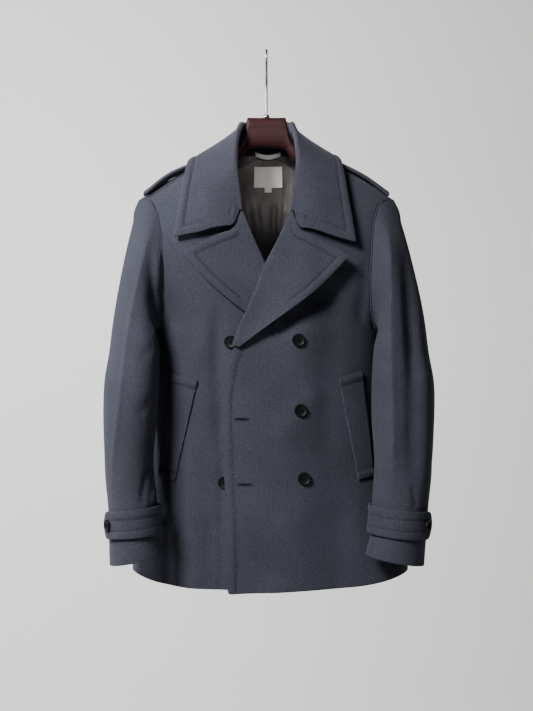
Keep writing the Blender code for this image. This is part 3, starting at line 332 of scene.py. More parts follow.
def satin_lining(tree, colours):
    """Viscose satin: long floats of shiny thread, so broad soft highlights along its folds."""
    cloud = noise(tree, place_on(tree), 22.0, 3.0, 0.55)
    threads = noise(tree, place_on(tree, (1.0, 1.0, 0.12)), 620.0, 2.0)
    surface(tree, mixed(tree, ranged(tree, cloud, (0.3, 0.7)),
                        colours.lining_dark, colours.lining_light), 0.42,
            (threads, 0.25, 0.15), {"Specular IOR Level": 0.5, "Sheen Weight": 0.15})


def woven_label(tree, colours):
    """Taffeta-woven polyester tape, off-white: fine crossing threads with a faint gloss."""
    place = place_on(tree)
    cloud = noise(tree, place, 60.0, 3.0)
    weave = maths(tree, "MULTIPLY", waves(tree, place, "X", 420.0, 0.4),
                  waves(tree, place, "Z", 420.0, 0.4))
    surface(tree, mixed(tree, ranged(tree, cloud, (0.3, 0.75)), colours.label,
                        linear("#e8e7e1")), 0.62, (weave, 0.4, 0.2), {"Sheen Weight": 0.2})


def sewing_thread(tree, colour):
    """Spun polyester thread: two plies twisted, a little glossier than the cloth."""
    plies = noise(tree, place_on(tree), 900.0, 2.0)
    surface(tree, mixed(tree, plies, [c * 0.7 for c in colour], [c * 1.3 for c in colour]),
            0.7, (plies, 0.4, 0.1), {"Specular IOR Level": 0.12})


def moulded_button(tree, colours):
    """Urea resin, moulded and tumbled: near black with faint horn-like streaks, half gloss."""
    streaks = noise(tree, place_on(tree, (1.0, 1.0, 3.2)), 180.0, 4.0, distortion=1.2)
    scuffs = noise(tree, place_on(tree), 1400.0, 2.0)
    surface(tree, mixed(tree, ranged(tree, streaks, (0.45, 0.75)), colours.button,
                        linear("#191a1e")), ranged(tree, scuffs, target=(0.42, 0.58)),
            (scuffs, 0.12, 0.1), {"IOR": 1.5, "Specular IOR Level": 0.2})


def stained_beech(tree, colours):
    """Beech, turned and shaped, stained mahogany: fine dark flecks under a thin dull lacquer."""
    grain = noise(tree, place_on(tree, (0.09, 1.0, 1.0)), 260.0, 6.0, 0.65, 0.4)
    flecks = noise(tree, place_on(tree, (0.22, 1.0, 1.0)), 900.0, 2.0)
    band = mixed(tree, ranged(tree, grain, (0.34, 0.68)), colours.wood_dark, colours.wood_light)
    flecked = mixed(tree, 0.5, band, ranged(tree, flecks, (0.5, 0.7), (1.0, 0.35)),
                    blend="MULTIPLY")
    surface(tree, flecked, 0.6, (grain, 0.12, 0.2),
            {"IOR": 1.5, "Specular IOR Level": 0.22, "Coat Weight": 0.06,
             "Coat Roughness": 0.28})


def plated_steel(tree, colours):
    """Nickel-plated steel wire, drawn and bent: fine lines along it and a soft bright gloss."""
    drawn = noise(tree, place_on(tree, (1.0, 1.0, 0.08)), 1800.0, 3.0)
    surface(tree, opaque(colours.steel), ranged(tree, drawn, target=(0.2, 0.38)),
            (drawn, 0.1, 0.05), {"Metallic": 1.0})


def backdrop_paper(tree, colours):
    """Matt paper, rolled down behind and under the coat."""
    tooth = noise(tree, place_on(tree), 300.0, 3.0)
    surface(tree, opaque(colours.backdrop), 0.9, (tooth, 0.1, 0.2),
            {"Specular IOR Level": 0.2})


FINISHES = {
    "milled_wool": milled_wool, "satin_lining": satin_lining, "woven_label": woven_label,
    "moulded_button": moulded_button, "stained_beech": stained_beech,
    "plated_steel": plated_steel, "backdrop_paper": backdrop_paper,
    "topstitch_thread": lambda tree, colours: sewing_thread(tree, colours.thread),
    "button_thread": lambda tree, colours: sewing_thread(tree, colours.button_thread),
}


def finish_named(name):
    """The scene's material of that name, made the first time it is asked for."""
    found = bpy.data.materials.get(name)
    if found is None:
        found = bpy.data.materials.new(name)
        found.use_nodes = True
        found.node_tree.nodes.clear()
        FINISHES[name](found.node_tree, bpy.context.scene.coat_colours)
    return found


# ---------------------------------------------------------------- folds

def tree_of(names):
    """A tree of the named CAD nodes' faces, to find points on the cloth with."""
    bm = bmesh.new()
    for name in names:
        bm.from_mesh(frame["nodes"][name].data)
    tree = BVHTree.FromBMesh(bm)
    bm.free()
    return tree


def seen_from(tree, side, across, up):
    """The first point of the cloth that shows from a side, and its normal towards that side."""
    far = 1.0
    start, way = {
        "front": (Vector((across, -far, up)), Vector((0, 1, 0))),
        "back": (Vector((across, far, up)), Vector((0, -1, 0))),
        "left": (Vector((far, across, up)), Vector((-1, 0, 0))),
        "right": (Vector((-far, across, up)), Vector((1, 0, 0))),
    }[side]
    point, normal = tree.ray_cast(start, way)[:2]
    if point is None:
        return None
    return point, normal if normal.dot(way) < 0 else -normal


def run_of(points, step):
    """Points every step along a smooth curve through the given ones."""
    points = np.array(points, float)
    padded = np.vstack([2 * points[0] - points[1], points, 2 * points[-1] - points[-2]])
    made = []
    for p0, p1, p2, p3 in zip(padded, padded[1:], padded[2:], padded[3:]):
        count = max(2, int(np.linalg.norm(p2 - p1) / step))
        for t in np.linspace(0, 1, count, endpoint=False):
            made.append(0.5 * (2 * p1 + (p2 - p0) * t + (2 * p0 - 5 * p1 + 4 * p2 - p3) * t * t
                               + (3 * p1 - p0 - 3 * p2 + p3) * t ** 3))
    return np.array(made + [points[-1]])


def laid_folds(names, folds):
    """The folds of a table as runs of points and normals on the named nodes."""
    tree = tree_of(names)
    made = []
    for side, points, width, height, *crest in folds:
        found = [seen_from(tree, side, *(v * MM for v in p)) for p in run_of(points, FOLD_STEP)]
        found = [f for f in found if f]
        if len(found) < 2:
            continue
        share = np.linspace(0, 1, len(found))
        fade = np.clip(np.minimum(share, 1 - share) * 4, 0, 1)
        fade = fade * fade * (3 - 2 * fade)
        if min(p[1] for p in points) < AT_HEM:
            fade = np.where(share > 0.5, 1.0, fade)
        made.append((np.array([f[0] for f in found]), np.array([f[1] for f in found]),
                     fade * height * MM, width * MM, bool(crest)))
    return made


def moved_by(folds, points):
    """How far each point moves when the folds are laid over the cloth."""
    moved = np.zeros_like(points)
    for run, normals, heights, width, sharp in folds:
        reach = 3.2 * width + 6 * MM
        near = np.all((points > run.min(axis=0) - reach) & (points < run.max(axis=0) + reach),
                      axis=1)
        if not near.any():
            continue
        gaps = np.linalg.norm(points[near][:, None, :] - run[None, :, :], axis=2)
        share = np.exp(-((gaps / FOLD_BLEND) ** 2)) + 1e-12
        share /= share.sum(axis=1, keepdims=True)
        closest = gaps.min(axis=1) / width
        shape = 1 / (1 + (1.5 * closest) ** 2) - 0.04 if sharp else np.exp(-closest ** 2)
        shape = np.clip(shape, 0, None)
        nearest = gaps.argmin(axis=1)
        moved[near] += (share @ normals) * (heights[nearest] * shape)[:, None]
    return moved * bpy.context.scene.coat_cloth.fold_strength


def drifted(points):
    """The soft unevenness of the whole coat; the same for every piece at a seam."""
    moved = np.zeros_like(points)
    for way, length, height, phase in DRIFT:
        way = np.array(way) / np.linalg.norm(way)
        wave = np.sin(points @ way * 2 * math.pi / length + phase)
        moved[:, 0] += 0.35 * height * wave
        moved[:, 1] += height * np.cos(points @ way[::-1] * 2 * math.pi / length + phase)
        moved[:, 2] += 0.25 * height * wave
    return moved


BODY_NODES = ("back", "front_left", "front_right")
SLEEVE_NODES = ("sleeve_top_left", "sleeve_top_right", "sleeve_under_left",
                "sleeve_under_right")
FOLDED = {
    "body": (BODY_NODES, FRONT_FOLDS + BACK_FOLDS),
    "sleeves": (SLEEVE_NODES, SLEEVE_FOLDS),
    "lining": (("lining",), LINING_FOLDS),
}
LAID = {}


def folds_of(group):
    """The laid folds of a group of pieces, worked out once. Those called still have none."""
    if group not in LAID:
        LAID[group] = laid_folds(*FOLDED[group]) if group in FOLDED else []
    return LAID[group]


def hung(points, group):
    """Points of the CAD's cloth, moved to where the hanging coat has them."""
    return points + moved_by(folds_of(group), points) + drifted(points)


# ---------------------------------------------------------------- cloth

def round_way(points, half_x, half_y):
    """Distance round an upright oval tube, from its front, in the direction of each point."""
    turns = np.linspace(-math.pi, math.pi, 181)
    steps = np.hypot(half_x * np.cos(turns), half_y * np.sin(turns)) * (turns[1] - turns[0])
    lengths = np.cumsum(steps)
    turn = np.arctan2(points[:, 0] / half_x, -points[:, 1] / half_y)
    return np.interp(turn, turns, lengths)


def trunk_outward(points):
    """Which way is out of the coat, at points of the body."""
    out = points * np.array([1 / TRUNK[0] ** 2, 1 / TRUNK[1] ** 2, 0])
    return out / np.maximum(np.linalg.norm(out, axis=1, keepdims=True), 1e-9)


def sleeve_outward(side_name):
    """A function that says which way is out of a sleeve."""
    names = (f"sleeve_top_{side_name}", f"sleeve_under_{side_name}")
    points = np.array([v.co for name in names for v in frame["nodes"][name].data.vertices])
    levels = np.arange(points[:, 2].min(), points[:, 2].max(), 12 * MM)
    middles = []
    for level in levels:
        ring = points[np.abs(points[:, 2] - level) < 22 * MM]
        middles.append((ring.min(axis=0) + ring.max(axis=0)) / 2)
    middles = np.array(middles)

    def outward(at):
        out = at - np.stack([np.interp(at[:, 2], levels, middles[:, 0]),
                             np.interp(at[:, 2], levels, middles[:, 1]), at[:, 2]], axis=1)
        return out / np.maximum(np.linalg.norm(out, axis=1, keepdims=True), 1e-9)

    return outward


def cage(name, stitched=None, outward=None, sewn_to=(), rim=RIM_CREASE):
    """A CAD node's mesh, merged and in quads.

    Its cut edges are creased, those sewn to another piece fully. The topstitched ones are
    marked as seams, and those with a visible seam as sharp edges.
    """
    cloth = [n for n in SHEETS if n != name] if name in SHEETS else []
    beside = tree_of(cloth) if cloth else None
    visible = tree_of(sewn_to) if sewn_to else None
    bm = bmesh.new()
    bm.from_mesh(frame["nodes"][name].data)
    bmesh.ops.remove_doubles(bm, verts=bm.verts, dist=0.001 * MM)
    bmesh.ops.join_triangles(bm, faces=bm.faces, angle_face_threshold=math.radians(60),
                             angle_shape_threshold=math.radians(80))
    crease = bm.edges.layers.float.new("crease_edge")
    for edge in bm.edges:
        if edge.calc_face_angle(0) < RIM_ANGLE:
            continue
        middle = (edge.verts[0].co + edge.verts[1].co) / 2
        sewn = bool(beside) and beside.find_nearest(middle)[3] < SEAM_NEAR
        edge[crease] = 1.0 if sewn else rim
        edge.smooth = not (visible and visible.find_nearest(middle)[3] < SEAM_NEAR)
        if stitched is None:
            continue
        out = Vector(outward(np.array([middle]))[0])
        outer = max(face.normal.dot(out) for face in edge.link_faces) > 0.5
        edge.seam = outer and edge.calc_length() > STITCHED_LEAST and stitched(
            middle, (edge.verts[1].co - edge.verts[0].co).normalized())
    return bm


def mesh_object(name, bm):
    """A new object at the origin with the mesh that was built."""
    mesh = bpy.data.meshes.new(name)
    bm.to_mesh(mesh)
    bm.free()
    made = bpy.data.objects.new(name, mesh)
    bpy.context.scene.collection.objects.link(made)
    return made


def applied(obj):
    """The object with its modifiers made part of its mesh."""
    shown = obj.evaluated_get(bpy.context.evaluated_depsgraph_get())
    mesh = bpy.data.meshes.new_from_object(shown)
    obj.modifiers.clear()
    obj.data = mesh
    mesh.name = obj.name
    return obj


def rounded(obj, levels):
    """Catmull-Clark rounding, applied, that still passes through the mesh's own points."""
    rounding = obj.modifiers.new("Rounding", "SUBSURF")
    rounding.levels = rounding.render_levels = levels
    wanted = spots(obj.data)
    for _ in range(2):
        shown = obj.evaluated_get(bpy.context.evaluated_depsgraph_get())
        drawn_in = wanted - spots(shown.data)[:len(wanted)]
        put_spots(obj.data, spots(obj.data) + 0.8 * drawn_in)
    return applied(obj)


def spots(mesh):
    """A mesh's points as an array."""
    points = np.empty(len(mesh.vertices) * 3)
    mesh.vertices.foreach_get("co", points)
    return points.reshape(-1, 3)


def put_spots(mesh, points):
    mesh.vertices.foreach_set("co", points.ravel())
    mesh.update()


def skin(mesh, outward):
    """Normals of the outer skin at its points, and which points are on it."""
    count = len(mesh.polygons)
    corners, facing, middle = np.empty(count * 4, int), np.empty(count * 3), np.empty(count * 3)
    mesh.polygons.foreach_get("vertices", corners)
    mesh.polygons.foreach_get("normal", facing)
    mesh.polygons.foreach_get("center", middle)
    corners, facing, middle = corners.reshape(-1, 4), facing.reshape(-1, 3), middle.reshape(-1, 3)
    out = np.einsum("ij,ij->i", facing, outward(middle)) > 0.4
    normals = np.zeros((len(mesh.vertices), 3))
    for k in range(4):
        np.add.at(normals, corners[out, k], facing[out])
    length = np.linalg.norm(normals, axis=1, keepdims=True)
    return normals / np.maximum(length, 1e-9), length[:, 0] > 0


def point_tree(points, numbers=None):
    """A tree of points to find the nearest with, or of those with the given numbers."""
    tree = KDTree(len(points))
    for i in range(len(points)) if numbers is None else numbers:
        tree.insert(points[i], int(i))
    tree.balance()
    return tree


def edge_gap(points, ends):
    """Each point's distance from some edges, given by the numbers of their ends."""
    tree = point_tree([points[a] + (points[b] - points[a]) * k / 3
                       for a, b in ends for k in range(3)])
    return np.array([tree.find(p)[2] for p in points])


def stitch_lines(mesh, points, gap, margin, outer):
    """Runs of points where the distance from the stitched edges is the margin."""
    over = gap > margin
    joins = {}
    for face in mesh.polygons:
        corners = face.vertices[:]
        flags = [over[c] for c in corners]
        if all(flags) or not any(flags) or not all(outer[c] for c in corners):
            continue
        cuts = [tuple(sorted((a, b))) for a, b in zip(corners, corners[1:] + corners[:1])
                if over[a] != over[b]]
        if len(cuts) == 2:
            joins.setdefault(cuts[0], []).append(cuts[1])
            joins.setdefault(cuts[1], []).append(cuts[0])
    runs, left = [], set(joins)
    while left:
        start = next((c for c in sorted(left) if len([n for n in joins[c] if n in left]) < 2),
                     None) or min(left)
        run = [start]
        left.discard(start)
        while True:
            following = next((n for n in joins[run[-1]] if n in left), None)
            if following is None:
                break
            run.append(following)
            left.discard(following)
        if len(run) > 6:
            runs.append([points[a] + (points[b] - points[a])
                         * (margin - gap[a]) / (gap[b] - gap[a]) for a, b in run])
    return runs


def turned(way, across, out):
    """The rotation that lays x, y and z along three directions."""
    return Matrix((way, across, out)).transposed()


def bead(bm, at, turn, size, rings=(6, 4)):
    """Adds a small ellipsoid: a stitch, a wrap of thread, or the dark bead of painted shade in a
    buttonhole's slit.
    """
    bmesh.ops.create_uvsphere(
        bm, u_segments=rings[0], v_segments=rings[1], radius=0.5,
        matrix=Matrix.Translation(at) @ turn.to_4x4() @ Matrix.Diagonal((*size, 1)))


def tied(obj, replaced=None):
    """Smooths a piece, ties it to the coat and hides the CAD node whose place it takes."""
    obj.data.shade_smooth()
    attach(obj, BODY)
    if replaced:
        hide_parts(replaced)


def dressed(obj, material, replaced=None):
    """Gives a piece its one material and ties it."""
    obj.data.materials.clear()
    obj.data.materials.append(finish_named(material))
    tied(obj, replaced)


def sew(name, runs, normal_at):
    """A row of stitches along each run, as one piece."""
    cloth = bpy.context.scene.coat_cloth
    pitch = cloth.stitch_pitch
    bm = bmesh.new()
    for run in runs:
        run = np.array(run)
        steps = np.linalg.norm(np.diff(run, axis=0), axis=1)
        along = np.concatenate([[0], np.cumsum(steps)])
        for at in np.arange(pitch, along[-1] - pitch / 2, pitch):
            centre, ahead = (Vector([np.interp(here, along, run[:, k]) for k in range(3)])
                             for here in (at, at + pitch / 2))
            normal = normal_at(centre)
            way = (ahead - centre).normalized()
            across = normal.cross(way).normalized()
            bead(bm, centre + normal * THREAD_RISE, turned(way, across, way.cross(across)),
                 (cloth.stitch_length, cloth.thread_width, cloth.thread_width))
    dressed(mesh_object(name, bm), "topstitch_thread")


def cloth_piece(name, group, outward, levels, stitched=None, lined=None,
                material="milled_wool", band=1.0, sewn_to=(), until=None, rim=RIM_CREASE):
    """One cloth piece over its CAD node: rounded, hung in its folds, seamed and topstitched."""
    made = mesh_object(f"cloth_{name}", cage(name, stitched, outward, sewn_to, rim))
    rounded(made, levels)
    mesh = made.data
    flat = spots(mesh)
    points = hung(flat, group)
    put_spots(mesh, points)
    sewn = np.array([e.vertices[:] for e in mesh.edges if e.use_edge_sharp])
    seam_gap = np.full(len(points), 1.0)
    if len(sewn):
        normals, outer = skin(mesh, outward)
        seam_gap = edge_gap(points, sewn)
        dent = SEAM_DEPTH * np.exp(-(seam_gap / SEAM_HALF) ** 2)
        points = points - normals * (dent * outer)[:, None]
        put_spots(mesh, points)
    mesh.materials.clear()
    mesh.materials.append(finish_named(material))
    out = outward(flat)
    across = {"sleeves": round_way(out, *SLEEVE_HALF), "body": round_way(flat, *TRUNK)}
    grain = np.stack([across.get(group, flat[:, 0]), 0 * out[:, 0], flat[:, 2]], axis=1)
    mesh.attributes.new("grain", "FLOAT_VECTOR", "POINT").data.foreach_set(
        "vector", grain.astype(np.float32).ravel())
    if lined is not None:
        mesh.materials.append(finish_named("satin_lining"))
        facing = np.array([f.normal for f in mesh.polygons])
        middle = np.array([f.center for f in mesh.polygons])
        clear = np.array([seam_gap[list(f.vertices)].min() for f in mesh.polygons]) > LINING_BACK
        inward = np.einsum("ij,ij->i", facing, outward(middle)) < -0.6
        mesh.polygons.foreach_set("material_index",
                                  (inward & lined(middle) & clear).astype(np.int32))
    if stitched is not None:
        cloth = bpy.context.scene.coat_cloth
        gap = edge_gap(points, np.array([e.vertices[:] for e in mesh.edges if e.use_seam]))
        margin = cloth.stitch_margin
        normals, outer = skin(mesh, outward)
        here = outer * (until(flat) if until else 1.0)
        groove = np.exp(-((gap - margin) / GROOVE_HALF) ** 2) * here
        puff = np.where(gap < margin, np.sin(np.clip(gap / margin, 0, 1) * math.pi) ** 0.7, 0)
        rise = band * (cloth.band_puff * puff * here - cloth.groove_depth * groove)
        points = points + normals * rise[:, None]
        put_spots(mesh, points)
        # The groove's weight, kept as the mask of the painted shade along the stitching.
        line = mesh.attributes.new("stitch_line", "FLOAT", "POINT")
        line.data.foreach_set("value", (groove * band).astype(np.float32))
        runs = stitch_lines(mesh, points, gap, margin, here > 0.5)
        tree = point_tree(points, np.flatnonzero(outer))
        sew(f"topstitch_{name}", runs, lambda at: Vector(normals[tree.find(at)[1]]))
    for edge in mesh.edges:
        edge.use_edge_sharp = False
    tied(made, name)


def everywhere(points):
    return np.ones(len(points), bool)


# ---------------------------------------------------------------- settings

def length_setting(name, description, default, least):
    """A length, given in millimetres."""
    return FloatProperty(name=name, description=description, default=default * MM,
                         min=least * MM, unit="LENGTH")


def colour_setting(name, description, default):
    """A colour, given in sRGB hex."""
    return FloatVectorProperty(name=name, description=description, default=linear(default),
                               size=3, min=0, max=1, subtype="COLOR")


class CoatCloth(bpy.types.PropertyGroup):
    """Sizes of the sewing, and how strongly the coat is folded."""

    stitch_margin: length_setting(
        "Stitch margin", "Topstitching's distance from the cloth's edge", 13.5, 0)
    stitch_pitch: length_setting("Stitch pitch", "From one topstitch to the next", 3.6, 0.5)
    stitch_length: length_setting("Stitch length", "Length of one topstitch", 3.0, 0.2)
    thread_width: length_setting(
        "Thread width", "Thickness of the topstitching's thread", 0.6, 0.1)
    groove_depth: length_setting(
        "Groove depth", "How far the topstitching pulls the cloth in", 1.1, 0)
    band_puff: length_setting(
        "Edge puff", "How far the cloth swells between stitching and edge", 1.3, 0)
    fold_strength: FloatProperty(
        name="Folds", description="Strength of all folds; 0 is a pressed coat",
        default=1.0, min=0, max=2, subtype="FACTOR")
    rounding: IntProperty(
        name="Rounding", description="Subdivision levels of the large panels",
        default=3, min=1, max=4)


class CoatColours(bpy.types.PropertyGroup):
    """Colours of the coat, the hanger and the backdrop."""

    wool_light: colour_setting("Wool, light", "The lighter fibres of the wool", "#484a56")
    wool_dark: colour_setting("Wool, dark", "The darker fibres of the wool", "#2f3039")
    # Painted shade: the colour that is mixed in along the topstitching's groove, for the shade in
    # it.
    wool_shadow: colour_setting("Wool, pulled in", "The wool in a line of stitching", "#15171d")
    lining_light: colour_setting(
        "Lining, light", "The lining where its threads lie flat", "#7f797a")
    lining_dark: colour_setting(
        "Lining, dark", "The lining where its threads are ruffled", "#575253")
    label: colour_setting("Label", "Label, tab and hanging loop", "#f4f3ee")
    thread: colour_setting("Topstitching", "Thread of the topstitching", "#2b2e38")
    # This colour is also the painted shade of the buttonholes' slits.
    button_thread: colour_setting(
        "Button thread", "Thread of the buttons and the slits of the buttonholes", "#0c0d0f")
    button: colour_setting("Buttons", "Main colour of the buttons", "#0a0b0d")
    wood_light: colour_setting("Wood, light", "The stained wood between its grain", "#421d1f")
    wood_dark: colour_setting("Wood, dark", "The grain of the stained wood", "#280f11")
    steel: colour_setting("Hook", "The plated wire of the hook", "#b9b8b4")
    backdrop: colour_setting("Backdrop", "The paper behind and under the coat", "#ebebea")


class CoatButton(bpy.types.PropertyGroup):
    """Sizes of the coat's buttons."""

    thickness: length_setting("Thickness", "From the cloth to the button's rim", 3.6, 1)
    hole: length_setting("Hole", "Radius of a thread hole", 1.05, 0.3)
    hole_ring: length_setting(
        "Hole ring", "From the button's middle to a hole's middle", 3.0, 0.5)


# ---------------------------------------------------------------- operators

class COAT_OT_body(bpy.types.Operator):
    """Hangs the back and the two fronts in their folds"""

    bl_idname = "coat.body"
    bl_label = "Back and Fronts"

    def execute(self, context):
        levels = context.scene.coat_cloth.rounding
        cloth_piece("back", "body", trunk_outward, levels, lined=everywhere,
                    sewn_to=("front_left", "front_right") + SLEEVE_NODES)
        for name, side in SIDES:
            def front_edge(middle, way, side=side):
                return (abs(way.z) > STEEP and middle.x * side < -FRONT_EDGE
                        and middle.z < FRONT_EDGE_TOP)

            cloth_piece(f"front_{name}", "body", trunk_outward, levels, front_edge,
                        lambda at, side=side: at[:, 0] * side > LINING_EDGE,
                        sewn_to=("back",) + SLEEVE_NODES)
        return {"FINISHED"}


class COAT_OT_lapels(bpy.types.Operator):
    """Turns the two lapels out over the chest"""

    bl_idname = "coat.lapels"
    bl_label = "Lapels"

    def execute(self, context):
        top, end = Vector(ROLL_TOP), Vector(ROLL_END)
        across = (end - top).normalized().orthogonal()
        if across.x < 0:
            across = -across
        beyond, below, fade = LAPEL_STITCHED
        for name, side in SIDES:
            def off_roll(middle, way, side=side):
                here = Vector(((middle.x - ROLL_X) * side, middle.z))
                return (here - top).dot(across) > ROLL_CLEAR

            def below_gorge(at, side=side):
                return np.clip(((at[:, 0] - ROLL_X) * side - beyond) / fade
                               + np.clip((below - at[:, 2]) / fade, 0, 2), 0, 1)

            cloth_piece(f"lapel_{name}", "still", trunk_outward,
                        context.scene.coat_cloth.rounding, off_roll, until=below_gorge)
        return {"FINISHED"}


class COAT_OT_collar(bpy.types.Operator):
    """Folds the collar's wide fall over its stand"""

    bl_idname = "coat.collar"
    bl_label = "Collar"

    def execute(self, context):
        stand = point_tree([v.co for v in frame["nodes"]["collar_stand"].data.vertices])
        beyond, fade = COLLAR_STITCHED
        cloth_piece("collar_stand", "still", trunk_outward, 3)
        cloth_piece("collar_fall", "still", trunk_outward, context.scene.coat_cloth.rounding,
                    lambda middle, way: stand.find(middle)[2] > ROLL_CLEAR,
                    until=lambda at: np.clip((np.abs(at[:, 0] - ROLL_X) - beyond) / fade
                                             + np.clip(at[:, 1] / fade, 0, 2), 0, 1))
        return {"FINISHED"}


class COAT_OT_sleeves(bpy.types.Operator):
    """Hangs the two-piece sleeves, pressed and creased at the elbow"""

    bl_idname = "coat.sleeves"
    bl_label = "Sleeves"

    def execute(self, context):
        for name, _ in SIDES:
            outward = sleeve_outward(name)
            for part in ("top", "under"):
                other = "under" if part == "top" else "top"
                cloth_piece(f"sleeve_{part}_{name}", "sleeves", outward,
                            context.scene.coat_cloth.rounding, lined=everywhere,
                            sewn_to=(f"sleeve_{other}_{name}", f"front_{name}", "back"))
        return {"FINISHED"}


class COAT_OT_armholes(bpy.types.Operator):
    """Lays the seam allowances round the armholes, behind their seams"""

    bl_idname = "coat.armholes"
    bl_label = "Armhole Seams"

    def execute(self, context):
        def turn_of(points, middle):
            return np.arctan2(points[:, 2] - middle[2], points[:, 1] - middle[1])

        for name, _ in SIDES:
            sleeve = tree_of((f"sleeve_top_{name}", f"sleeve_under_{name}"))
            beside = np.array([v.co for part in ("back", f"front_{name}")
                               for v in frame["nodes"][part].data.vertices
                               if sleeve.find_nearest(v.co)[3] < SEAM_NEAR])
            middle = (beside.min(axis=0) + beside.max(axis=0)) / 2
            turn = turn_of(beside, middle)
            places = np.linspace(-math.pi, math.pi, 49)
            near = [(turn >= start) & (turn < end) for start, end in zip(places, places[1:])]
            ring = np.array([beside[found].mean(axis=0) for found in near if found.any()])
            ring = (hung(ring, "body") + hung(ring, "sleeves")) / 2
            under_arm = (turn_of(ring, middle) + math.pi / 2) / BUNCH_HALF
            line = bpy.data.curves.new(f"armhole_line_{name}", "CURVE")
            line.dimensions = "3D"
            line.bevel_depth, line.bevel_resolution = ALLOWANCE, 2
            spline = line.splines.new("POLY")
            spline.points.add(len(ring) - 1)
            spline.points.foreach_set("co", np.c_[ring, np.ones(len(ring))].ravel())
            spline.points.foreach_set("radius", 1 + BUNCH * np.exp(-under_arm ** 2))
            spline.use_cyclic_u = True
            drawn = bpy.data.objects.new(line.name, line)
            context.scene.collection.objects.link(drawn)
            shown = drawn.evaluated_get(context.evaluated_depsgraph_get())
            bm = bmesh.new()
            bm.from_mesh(bpy.data.meshes.new_from_object(shown))
            bpy.data.objects.remove(drawn)
            dressed(mesh_object(f"armhole_seam_{name}", bm), "milled_wool")
        return {"FINISHED"}


class COAT_OT_straps(bpy.types.Operator):
    """Lays the straps on the shoulders and round the cuffs"""

    bl_idname = "coat.straps"
    bl_label = "Straps"

    def execute(self, context):
        def upward(at):
            return np.tile([0.0, 0.0, 1.0], (len(at), 1))

        for name, _ in SIDES:
            cloth_piece(f"shoulder_strap_{name}", "still", upward, 3,
                        lambda middle, way: abs(way.y) < STEEP, band=STRAP_BAND)
            cloth_piece(f"cuff_strap_{name}", "sleeves", sleeve_outward(name), 3,
                        lambda middle, way: True, band=STRAP_BAND, rim=STRAP_CREASE)
        return {"FINISHED"}


class COAT_OT_welts(bpy.types.Operator):
    """Lays the slanted pocket welts on the fronts"""

    bl_idname = "coat.welts"
    bl_label = "Pocket Welts"

    def execute(self, context):
        for name, _ in SIDES:
            cloth_piece(f"pocket_welt_{name}", "body", trunk_outward, 3,
                        lambda middle, way: abs(way.z) < STEEP)
        return {"FINISHED"}


class COAT_OT_inside(bpy.types.Operator):
    """Hangs the lining, the bare label and the loop that show in the neck"""

    bl_idname = "coat.inside"
    bl_label = "Lining, Label and Loop"

    def execute(self, context):
        def to_the_front(at):
            return np.tile([0.0, -1.0, 0.0], (len(at), 1))

        cloth_piece("lining", "lining", to_the_front, 2, material="satin_lining")
        for name in ("neck_label", "hanging_loop"):
            cloth_piece(name, "still", to_the_front, 3, material="woven_label",
                        rim=1.0)
        return {"FINISHED"}


def button_place(name):
    """A CAD button's middle on the cloth, its way out and its radius."""
    points = np.array([v.co for v in frame["nodes"][name].data.vertices])
    middle = (points.min(axis=0) + points.max(axis=0)) / 2
    normal = np.linalg.svd(points - points.mean(axis=0))[2][2]
    outward = middle * np.array([0.35 if name.startswith("cuff") else 0, 1, 0])
    if name.startswith("cuff"):
        outward = sleeve_outward(name.rsplit("_", 1)[1])(middle[None])[0]
    normal = normal if normal @ outward > 0 else -normal
    along = (points - middle) @ normal
    spread = np.linalg.norm((points - middle) - along[:, None] * normal, axis=1)
    return middle + normal * along.min(), normal, spread.max()


